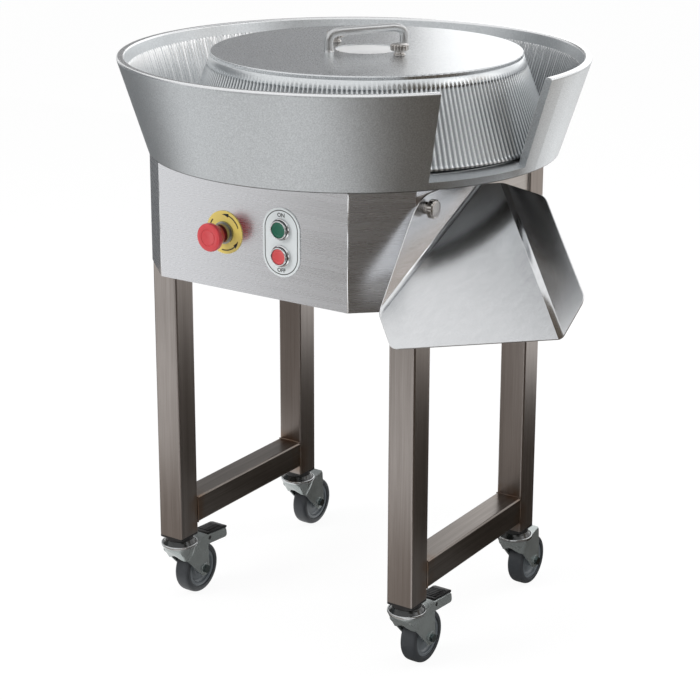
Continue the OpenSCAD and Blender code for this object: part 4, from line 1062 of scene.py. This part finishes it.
@dataclass
class Controls:
    """Stop button with its arrows, and the two push buttons with their printed plate."""

    face_y: float = -229.5  # the front cover's face
    stop: Spot = (-42.0, 600.0)  # the emergency stop's place on that face
    start: Spot = (50.0, 617.75)  # the green button's place
    halt: Spot = (50.0, 582.25)  # the red button's place
    sheet: float = 1.2  # how far the plate and the disc stand out
    mushroom_r: float = 19.0
    mushroom_out: float = 36.0  # how far its face stands out
    mushroom_back: float = 16.5  # how far its back stands out
    stem_r: float = 4.06  # bore for its stem
    body_r: float = 11.95  # the push buttons' threaded bodies
    body_back: float = -20.0  # how far those bodies reach behind the face
    flange_r: float = 14.5  # their rings' flanges
    cap_r: float = 10.5  # the push caps
    cap_fit: float = 0.06  # room round a cap
    cap_out: float = 8.0  # how far the caps stand out
    cap_back: float = -17.0  # how far they reach behind the face
    arrow_r: float = 24.1  # middle line of the arrows
    arrow_half: float = 0.75  # half of an arrow's width
    arrow_head: float = 2.5  # half of its head's width
    arrow_neck: float = 0.68  # share of its length before the head
    line_r: Spot = (25.0, 26.1)  # inner and outer radius of the plate's line
    line_lift: float = 17.0  # how far the line's half circles lie from its middle
    print_out: float = 0.09  # how far a print's middle lies before its plate
    print_t: float = 0.12  # thickness of a print
    letter: float = 7.4  # size of the letters
    letter_bold: float = 0.14  # how far their strokes are widened

    def build(self) -> None:
        """Makes the buttons and the prints."""
        self.mushroom()
        self.rings()
        self.cap("start_button", self.start, "green_cap", Finish.GREEN_CAP)
        self.cap("stop_button", self.halt, "red_cap", Finish.RED_CAP)
        for k in range(3):
            self.arrow(k)
        self.outline()
        self.word("print_on", "ON", 34.0)
        self.word("print_off", "OFF", -39.3)

    @property
    def plate_middle(self) -> Spot:
        """The middle of the button plate on the face."""
        return self.start[0], (self.start[1] + self.halt[1]) / 2

    def on_face(self, spot: Spot) -> Matrix:
        """Where a shape built upwards from zero stands out from a spot of the face."""
        return Matrix.Translation((spot[0], self.face_y, spot[1])) @ Matrix.Rotation(math.pi / 2, 4, "X")

    def mushroom(self) -> None:
        """Makes the mushroom: a turned profile with a waist, a rounded edge, a ring groove and a dish."""
        r, out, back, bore = self.mushroom_r, self.mushroom_out, self.mushroom_back, self.stem_r
        stem = [(0, out - 5.7, 0), (bore, out - 5.7, 0), (bore, back, 0)]
        waist = [(r - 6, back, 1), (r - 1.8, 27, 3), (r, 28.6, 1.5), (r, out - 0.9, 2.2)]
        rim = [(r - 3.4, out, 1.6), (r - 7.2, out - 0.1, 0)]
        groove = [(r - 7.6, out - 0.8, 0.2), (r - 8.8, out - 0.8, 0.2), (r - 9.2, out - 0.2, 0.3)]
        dish = [(r - 12, out - 0.5, 2), (0, out - 0.9, 0)]
        section = round_profile(stem + waist + rim + groove + dish, 7)
        grid = moved(revolve(section, 96), self.on_face(self.stop))
        ride = ("estop_mushroom", "red_mushroom", "estop_head")
        grid_piece("stop_mushroom", grid, Close.RING, Finish.RED_MUSHROOM, ride, 40.0)

    def rings(self) -> None:
        """Makes the push buttons' rings: a turned flange, a step and a collar, with a black band round it as
        painted shade.
        """
        bore, out, flange = self.cap_r + self.cap_fit, self.cap_out + 1, self.flange_r
        body = [(bore, self.body_back, 0), (self.body_r, self.body_back, 0), (self.body_r, self.sheet, 0)]
        step = [(flange, self.sheet, 0.2), (flange, 3.8, 0.8), (bore + 2.3, 4.6, 0.5)]
        collar = [(bore + 1.8, out - 0.7, 0.6), (bore + 1.1, out, 0.4)]
        mouth = [(bore + 0.3, out, 0.2), (bore, out - 0.3, 0)]
        ring = revolve(round_profile(body + step + collar + mouth), 72)
        spots = {"start": self.start, "stop": self.halt}
        grids = np.stack([moved(ring, self.on_face(spot)) for spot in spots.values()])
        faces = np.array(grid_faces(*ring.shape[:2], Close.TORUS))
        both = np.concatenate([faces, faces + ring[..., 0].size]).tolist()
        piece = new_piece("button_rings", grids, both, Finish.CHROME_RING.material)
        settle(piece, "frame", "chrome_ring", "button_bezels")
        # a black band round each collar, painted shade on the chrome between flange and lip
        low, high = 4.9, out - 1.7
        band = [(bore + 1.2, low, 0), (bore + 2.5, low, 0.3), (bore + 2.3, high, 0.4), (bore + 1.2, high, 0)]
        for name, spot in spots.items():
            grid = moved(revolve(round_profile(band, 4), 72), self.on_face(spot))
            ride = ("frame", "black_plastic")
            grid_piece(f"ring_band_{name}", grid, Close.TORUS, Finish.BLACK_PLASTIC, ride)

    def cap(self, node: str, spot: Spot, slot: str, finish: Finish) -> None:
        """Makes one push cap: a turned profile with a rounded edge and a shallow dish.

        Args:
            node: the solid that it stands for, which is also its body.
            spot: its place on the face.
            slot: the record's material slot.
            finish: its finish.
        """
        r, out, back = self.cap_r, self.cap_out, self.cap_back
        side = [(0, back, 0), (r, back, 0.5), (r, out, 1.6)]
        dish = [(r - 2.2, out - 0.05, 0.8), (r - 3.4, out - 0.9, 0.9), (0, out - 1.1, 0)]
        grid = moved(revolve(round_profile(side + dish, 6), 72), self.on_face(spot))
        grid_piece(f"{node}_cap", grid, Close.RING, finish, (node, slot, node), 40.0)

    def printed(self, name: str, flat: np.ndarray, spot: Spot, slot: str, close: Close) -> None:
        """Makes a thin raised print from a flat strip of points.

        Args:
            name: the piece's name.
            flat: rows of points X, Y on the face, seen from the front.
            spot: the print's middle.
            slot: the record's material slot.
            close: how the strip is closed.
        """
        raised = np.insert(flat, 2, self.sheet + self.print_out, axis=-1)
        grid = moved(raised, self.on_face(spot))
        thicken(grid_piece(name, grid, close, Finish.BLACK_INK, ("frame", slot)), self.print_t)

    def arrow(self, k: int) -> None:
        """Makes one curved arrow: a band along an arc, which jumps to a wide head and shrinks to a point.

        Args:
            k: the arrow's number, which gives its third of the circle.
        """
        neck = self.arrow_neck
        t = np.array([*np.linspace(0, neck, 18), neck + 0.0001, *np.linspace(0.74, 1, 6)])
        half = np.where(t <= neck, self.arrow_half, self.arrow_head * (1.0001 - t) / (1 - neck))[:, None]
        a = np.radians(120 * k + 20 + 78 * t)[:, None]
        r = self.arrow_r + half * np.array([[-1, 1]])
        flat = np.stack([r * np.cos(a), r * np.sin(a)], axis=-1)
        self.printed(f"turn_arrow_{k}", flat, self.stop, "yellow_disc", Close.STRIP)

    def outline(self) -> None:
        """Makes the plate's line: two half circles joined by straights, as a band of even width."""
        a = np.linspace(0, TURN, 160, endpoint=False)[:, None]
        r = np.array([self.line_r])
        lift = self.line_lift * np.sign(np.sin(a + 1e-9))
        flat = np.stack([r * np.cos(a), r * np.sin(a) + lift], axis=-1)
        self.printed("plate_line", flat, self.plate_middle, "white_plate", Close.RING)

    def word(self, name: str, letters: str, rise: float) -> None:
        """Makes a printed word as a mesh.

        Args:
            name: the piece's name.
            letters: the word.
            rise: the height of its foot over the plate's middle.
        """
        curve = bpy.data.curves.new(name, "FONT")
        curve.body, curve.align_x = letters, "CENTER"
        curve.size, curve.offset = self.letter * MM, self.letter_bold * MM
        curve.extrude = self.print_t / 2 * MM
        maker = bpy.data.objects.new(name + "_letters", curve)
        mesh = bpy.data.meshes.new_from_object(maker)
        bpy.data.objects.remove(maker)
        x, middle = self.plate_middle
        place = self.on_face((x, middle + rise)) @ Matrix.Translation((0, 0, self.sheet + self.print_out))
        mesh.transform(Matrix.Scale(MM, 4) @ place @ Matrix.Scale(1 / MM, 4))
        mesh.name = name
        mesh.materials.append(Finish.BLACK_INK.material)
        settle(linked(name, mesh), "frame", "white_plate")


@dataclass
class Caster:
    """Wheel, tyre, crown, nose and washers of one swivel caster, and the ribs of a braked one's pedal."""

    corner: Corner
    swivel: Spot = (196.0, 150.0)  # the swivel's distance from the middle, along X and Y
    trail: float = 38.0  # how far the axle lies behind the swivel
    axle_z: float = 37.5
    fork_out: float = 16.5  # the fork's outer face
    nose_r: float = 25.6  # radius of the fork's nose under the lip
    nose_z: float = 88.4  # height of its upper edge
    nose_t: float = 2.2  # thickness of its sheet
    grip: Spot = (57.0, 87.0)  # where the pedal's grip starts and ends behind the swivel
    grip_z: float = 88.8034  # height of the pedal's top where the grip starts
    grip_fall: float = 0.0548  # slope of that top
    grip_half: float = 11.6  # half of the grip's width
    rib: float = 0.75  # height of its ribs
    rib_pitch: float = 5.0

    def build(self) -> None:
        """Makes the pieces of this caster."""
        self.wheel()
        self.crown()
        self.nose()
        for name, side in (("left", -1), ("right", 1)):
            self.washer(name, side)
        if self.corner.value[1] < 0:
            self.pedal()

    @property
    def middle(self) -> np.ndarray:
        """The swivel's place on the floor."""
        return np.array([*np.multiply(self.corner.value, self.swivel), 0.0])

    @property
    def fork(self) -> str:
        """The body of the fork."""
        return f"caster_{self.corner.label}"

    def on_axle(self, along: float, lean: float) -> Matrix:
        """Where a shape built about Z lies on the axle, so far along X and turned so far about Y."""
        spot = self.middle + np.array([along, self.trail, self.axle_z])
        return Matrix.Translation(spot.tolist()) @ Matrix.Rotation(lean, 4, "Y")

    def wheel(self) -> None:
        """Makes the wheel and its tyre: one half of a section, mirrored, and turned about the axle."""
        label = self.corner.label
        hub = [(4.07, -12, 0), (9, -12, 0.6), (9.6, -6.5, 1.5), (11.5, -4.4, 1.5)]
        rim = [(20.5, -4.4, 2), (23.2, -7, 1.2), (24, -10.2, 0.8), (28, -10.2, 0.8)]
        flank = [(28.3, -10.4, 0.5), (28.7, -11.9, 0.8), (32.4, -12, 1.2), (35.4, -11.2, 1.4)]
        tread = [(37.2, -8.4, 2), (37.5, -3.4, 1), (37.5, -0.5, 0)]
        rings = [
            ("wheel", "core", hub + rim, "wheel_core", Finish.WHEEL_CORE),
            ("tyre", "tread", flank + tread, "tyre_rubber", Finish.TYRE_RUBBER),
        ]
        for kind, form, half, slot, finish in rings:
            line = round_profile(half)
            section = np.concatenate([line, (line * [1, -1])[::-1]])
            grid = moved(revolve(section, 96), self.on_axle(0.0, math.pi / 2))
            ride = (f"wheel_{label}", slot, f"{kind}_{label}")
            grid_piece(f"{kind}_{label}_{form}", grid, Close.TORUS, finish, ride)

    def crown(self) -> None:
        """Makes the crown: a dark turned race and a rolled lip round it."""
        race = [(13, 97.75, 0), (20.2, 97.75, 0.5), (21.6, 95, 1.6)]
        race += [(24.4, 91.4, 0.6), (24.4, 90.6, 0), (13, 94, 0)]
        lip = [(24.5, 90.4, 0), (24.9, 92.2, 0.6), (26.4, 92, 0.9)]
        lip += [(26.8, 89.4, 0.9), (26, 87.2, 0.7), (24.5, 87.6, 0)]
        rings = [
            ("race", race, "black_plastic", Finish.RACE_PLASTIC),
            ("lip", lip, "zinc_steel", Finish.ROLLED_LIP),
        ]
        for name, section, slot, finish in rings:
            grid = revolve(round_profile(section, 6), 72) + self.middle
            grid_piece(f"{name}_{self.corner.label}", grid, Close.TORUS, finish, (self.fork, slot))

    def nose(self) -> None:
        """Makes the nose: r falls with the depth v, and its lower edge drops and widens to the arms."""
        a = np.radians(np.linspace(-104, 104, 64))[:, None]
        v = np.linspace(0, 1, 14)[None]
        aside = np.sin(a) ** 2
        z = self.nose_z - (17 + 8 * aside) * v
        r = self.nose_r - (13.6 - 5.0 * aside) * v**1.4
        outer, inner = (np.stack([s * np.sin(a), -s * np.cos(a), z], axis=-1) for s in (r, r - self.nose_t))
        grid = np.concatenate([outer, inner[:, ::-1]], axis=1) + self.middle
        ride = (self.fork, "zinc_steel")
        grid_piece(f"nose_{self.corner.label}", grid, Close.TUBE, Finish.ZINC_PLATE, ride, 50.0)

    def washer(self, name: str, side: int) -> None:
        """Makes the washer on one side of the fork: a flat turned ring with rounded edges.

        Args:
            name: the side's name.
            side: the sign of its X.
        """
        section = round_profile([(4.1, 0.05, 0), (8.4, 0.05, 0.2), (8.4, 1.0, 0.4), (4.1, 1.0, 0)], 4)
        grid = moved(revolve(section, 48), self.on_axle(side * self.fork_out, side * math.pi / 2))
        ride = (self.fork, "zinc_steel")
        grid_piece(f"washer_{self.corner.label}_{name}", grid, Close.TORUS, Finish.ZINC_PLATE, ride)

    def pedal(self) -> None:
        """Makes the pedal's grip: a rippled line in side view, carried across the pedal."""
        y = np.linspace(*self.grip, 90)
        behind = y - self.grip[0]
        top = self.grip_z - behind * self.grip_fall
        ripple = top + 0.15 + self.rib * np.clip(np.sin(behind * TURN / self.rib_pitch), 0, 1) ** 0.6
        side = np.concatenate([np.stack([y, ripple], axis=-1), np.stack([y, top - 1.2], axis=-1)[::-1]])
        half, soft = self.grip_half, 0.6
        x = np.array([-half, soft - half, half - soft, half])[:, None]
        inset = np.array([0.35, 0.0, 0.0, 0.35])[:, None]
        grid = np.stack([x + 0 * side[:, 0], side[:, 0] + 0 * x, side[:, 1] - inset], axis=-1) + self.middle
        label = self.corner.label
        ride = (f"pedal_{label}", "black_plastic")
        grid_piece(f"pedal_grip_{label}", grid, Close.TUBE, Finish.BLACK_PLASTIC, ride, 40.0)


@dataclass
class Studio:
    """Floor, light and camera."""

    eye: Point = (1406.6, -2109.5, 1230.6)  # the camera's place
    heading: float = 34.191  # its turn about Z, in degrees
    pitch: float = 15.731  # how far it looks down, in degrees
    focal: float = 1868.2  # focal length in pixels of the frame
    frame: float = 700.0  # width of the frame in pixels
    sensor: float = 36.0  # width of the camera's sensor
    shift: Spot = (0.0245, -0.13)  # of the frame's middle from the optical axis, in frames
    floor_half: float = 30000.0  # half of the floor's side
    dark: Color = (0.11, 0.09, 0.07)  # cards that darken the chute's side
    dim: Color = (0.3, 0.27, 0.25)  # cards beside the legs

    def build(self) -> None:
        """Makes the camera, the floor, the world, the lamps, and the cards that metal reflects."""
        self.camera()
        self.floor()
        self.world()
        self.lamp("key_softbox", (-1500, -2300, 2100), (0, 0, 600), (1500, 1100), 38.0)
        self.lamp("top_softbox", (250, -250, 2700), (150, -100, 800), (1700, 1500), 24.0)
        self.lamp("rim_softbox", (1500, 2000, 1500), (200, 100, 700), (700, 1400), 14.0)
        self.level_cards()
        self.upright_cards()

    def level_cards(self) -> None:
        """Lays out the level cards, each by its ends along X and Y, its height and its glow."""
        cards = [
            ("card_right", (560, 3600), (-2600, 200), 3, self.dark),
            ("card_behind", (-150, 3600), (200, 1000), 3, (0.05, 0.042, 0.035)),
            ("card_under", (-170, 560), (-200, 200), 3, (0.16, 0.155, 0.15)),
            ("card_feet", (-620, 260), (-640, -215), 3, (0.42, 0.38, 0.35)),
            ("card_return", (1300, 2500), (-1900, -900), 5, (0.03, 0.025, 0.02)),
            ("card_far", (1050, 3200), (1000, 3200), 3, (0.5, 0.435, 0.37)),
            ("card_glow", (100, 850), (1250, 2500), 3, (1.7, 1.7, 1.7)),
            ("card_left", (-4000, -1300), (-620, 2600), 3, (0.16, 0.165, 0.17)),
            ("card_over", (0, 1500), (400, 1600), 2500, (0.3, 0.31, 0.32)),
        ]
        for name, (left, right), (front, back), z, glow in cards:
            self.card(name, [(left, front, z), (right, front, z), (right, back, z), (left, back, z)], glow)
        slanted = [(-840, -1400, 3), (100, -1400, 3), (-900, -3000, 3), (-1960, -3000, 3)]
        self.card("card_front", slanted, (0.1, 0.08, 0.06))

    def upright_cards(self) -> None:
        """Stands up the upright cards, each by its two ends in plan, its two heights and its glow."""
        cards = [
            ("card_side", (3000, -2800), (3000, 900), (0, 1400), self.dark),
            ("card_side_high", (3000, -2800), (3000, -700), (1400, 2800), self.dark),
            ("card_glow_side", (3000, 100), (3000, 1200), (1600, 2900), (2.3, 2.3, 2.3)),
            ("card_warm_side", (3000, 1200), (3000, 2100), (900, 2300), (0.44, 0.33, 0.24)),
            ("card_glow_far", (3000, 2150), (3000, 3500), (1300, 2900), (2.0, 2.0, 2.0)),
            ("card_west", (-3000, -1800), (-3000, 900), (300, 2200), (0.2, 0.21, 0.22)),
            ("card_camera", (-1500, -3300), (3400, -3300), (700, 1550), (0.1, 0.09, 0.085)),
            ("card_back", (-4200, 2700), (-1560, 2700), (800, 1410), (0.44, 0.44, 0.445)),
            ("card_back_high", (-4200, 2700), (-1560, 2700), (1410, 2600), (0.15, 0.15, 0.155)),
            ("card_bright", (-1500, 2700), (800, 2700), (800, 2600), (1.5, 1.5, 1.5)),
            ("card_leg_left", (-700, -176), (-225, -176), (4, 505), self.dim),
            ("card_leg_right", (-120, -176), (60, -176), (4, 505), self.dim),
        ]
        for name, start, end, (low, high), glow in cards:
            self.card(name, [(*start, low), (*end, low), (*end, high), (*start, high)], glow)

    def camera(self) -> None:
        """Makes the camera."""
        data = bpy.data.cameras.new("camera")
        data.sensor_width = self.sensor
        data.lens = self.focal / self.frame * self.sensor
        data.shift_x, data.shift_y = self.shift
        data.clip_end = 100.0
        made = linked("camera", data)
        made.location = Vector(self.eye) * MM
        made.rotation_euler = (math.radians(90 - self.pitch), 0, math.radians(self.heading))
        bpy.context.scene.camera = made

    def floor(self) -> None:
        """Makes a pale floor that shows white to the camera and to metal, and keeps a soft shadow."""
        look = Look("pale_floor", Base_Color=(0.86, 0.86, 0.86, 1.0), Roughness=0.9)
        glow = look.node("ShaderNodeEmission", None, {"Color": (1, 1, 1, 1), "Strength": 1.07})
        plain = Value(look, look.shader.outputs[0])
        look.surface(look.node("ShaderNodeMixShader", None, {0: look.seen() * 0.86, 1: plain, 2: glow}))
        r = self.floor_half
        corners = np.array([(-r, -r, 0), (r, -r, 0), (r, r, 0), (-r, r, 0)])
        made = new_piece("floor", corners, [[0, 1, 2, 3]], look.material)

    @staticmethod
    def world() -> None:
        """Makes a plain white world, dimmer as a light than as a background."""
        world = bpy.data.worlds.new("studio")
        world.use_nodes = True
        bpy.context.scene.world = world
        graph = Graph(world.node_tree)
        back = graph.tree.nodes["Background"]
        back.inputs["Color"].default_value = (1, 1, 1, 1)
        graph.tree.links.new((graph.seen() * 0.5 + 0.5).socket, back.inputs["Strength"])

    @staticmethod
    def lamp(name: str, place: Point, aim: Point, size: Spot, power: float) -> None:
        """Makes an area lamp that metal doesn't mirror.

        Args:
            name: the lamp's name.
            place: where it stands.
            aim: where it points.
            size: its width and height.
            power: its power in watts.
        """
        data = bpy.data.lights.new(name, "AREA")
        data.shape = "RECTANGLE"
        data.size, data.size_y = size[0] * MM, size[1] * MM
        data.energy = power
        made = linked(name, data)
        made.location = Vector(place) * MM
        made.rotation_euler = (Vector(aim) - Vector(place)).to_track_quat("-Z", "Y").to_euler()
        made.visible_glossy = False

    @staticmethod
    def card(name: str, corners: list[Point], glow: Color) -> None:
        """Makes a card that only shows in reflections, as a studio's flags and boards do.

        Args:
            name: the card's name.
            corners: its four corners.
            glow: the light that it sends back, where 1 is white.
        """
        look = Look(name)
        look.surface(look.node("ShaderNodeEmission", None, {"Color": (*glow, 1), "Strength": 1.0}))
        made = new_piece(name, np.array(corners, float), [[0, 1, 2, 3]], look.material)
        made.visible_camera = made.visible_diffuse = made.visible_shadow = made.visible_transmission = False


def main() -> None:
    """Builds the object's looks in order."""
    logging.basicConfig(level=logging.INFO, format="%(message)s")
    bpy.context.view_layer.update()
    bpy.context.scene.view_settings.view_transform = "Standard"
    Studio().build()
    dress_solids()
    screws = [
        ThumbScrew("lid_screw_right", (86.771, -8.2138, LID_Z), Facing.UP, 21.0),
        ThumbScrew("lid_screw_left", (-46.942, 36.527, LID_Z), Facing.UP, 21.0),
        ThumbScrew("chute_screw", (217.5, -150.0, 653.0), Facing.RIGHT, 11.5),
    ]
    casters = [Caster(corner) for corner in Corner]
    for assembly in (Bowl(), Rotor(), *screws, Chute(), Stand(), Controls(), *casters):
        assembly.build()


if __name__ == "__main__":
    main()
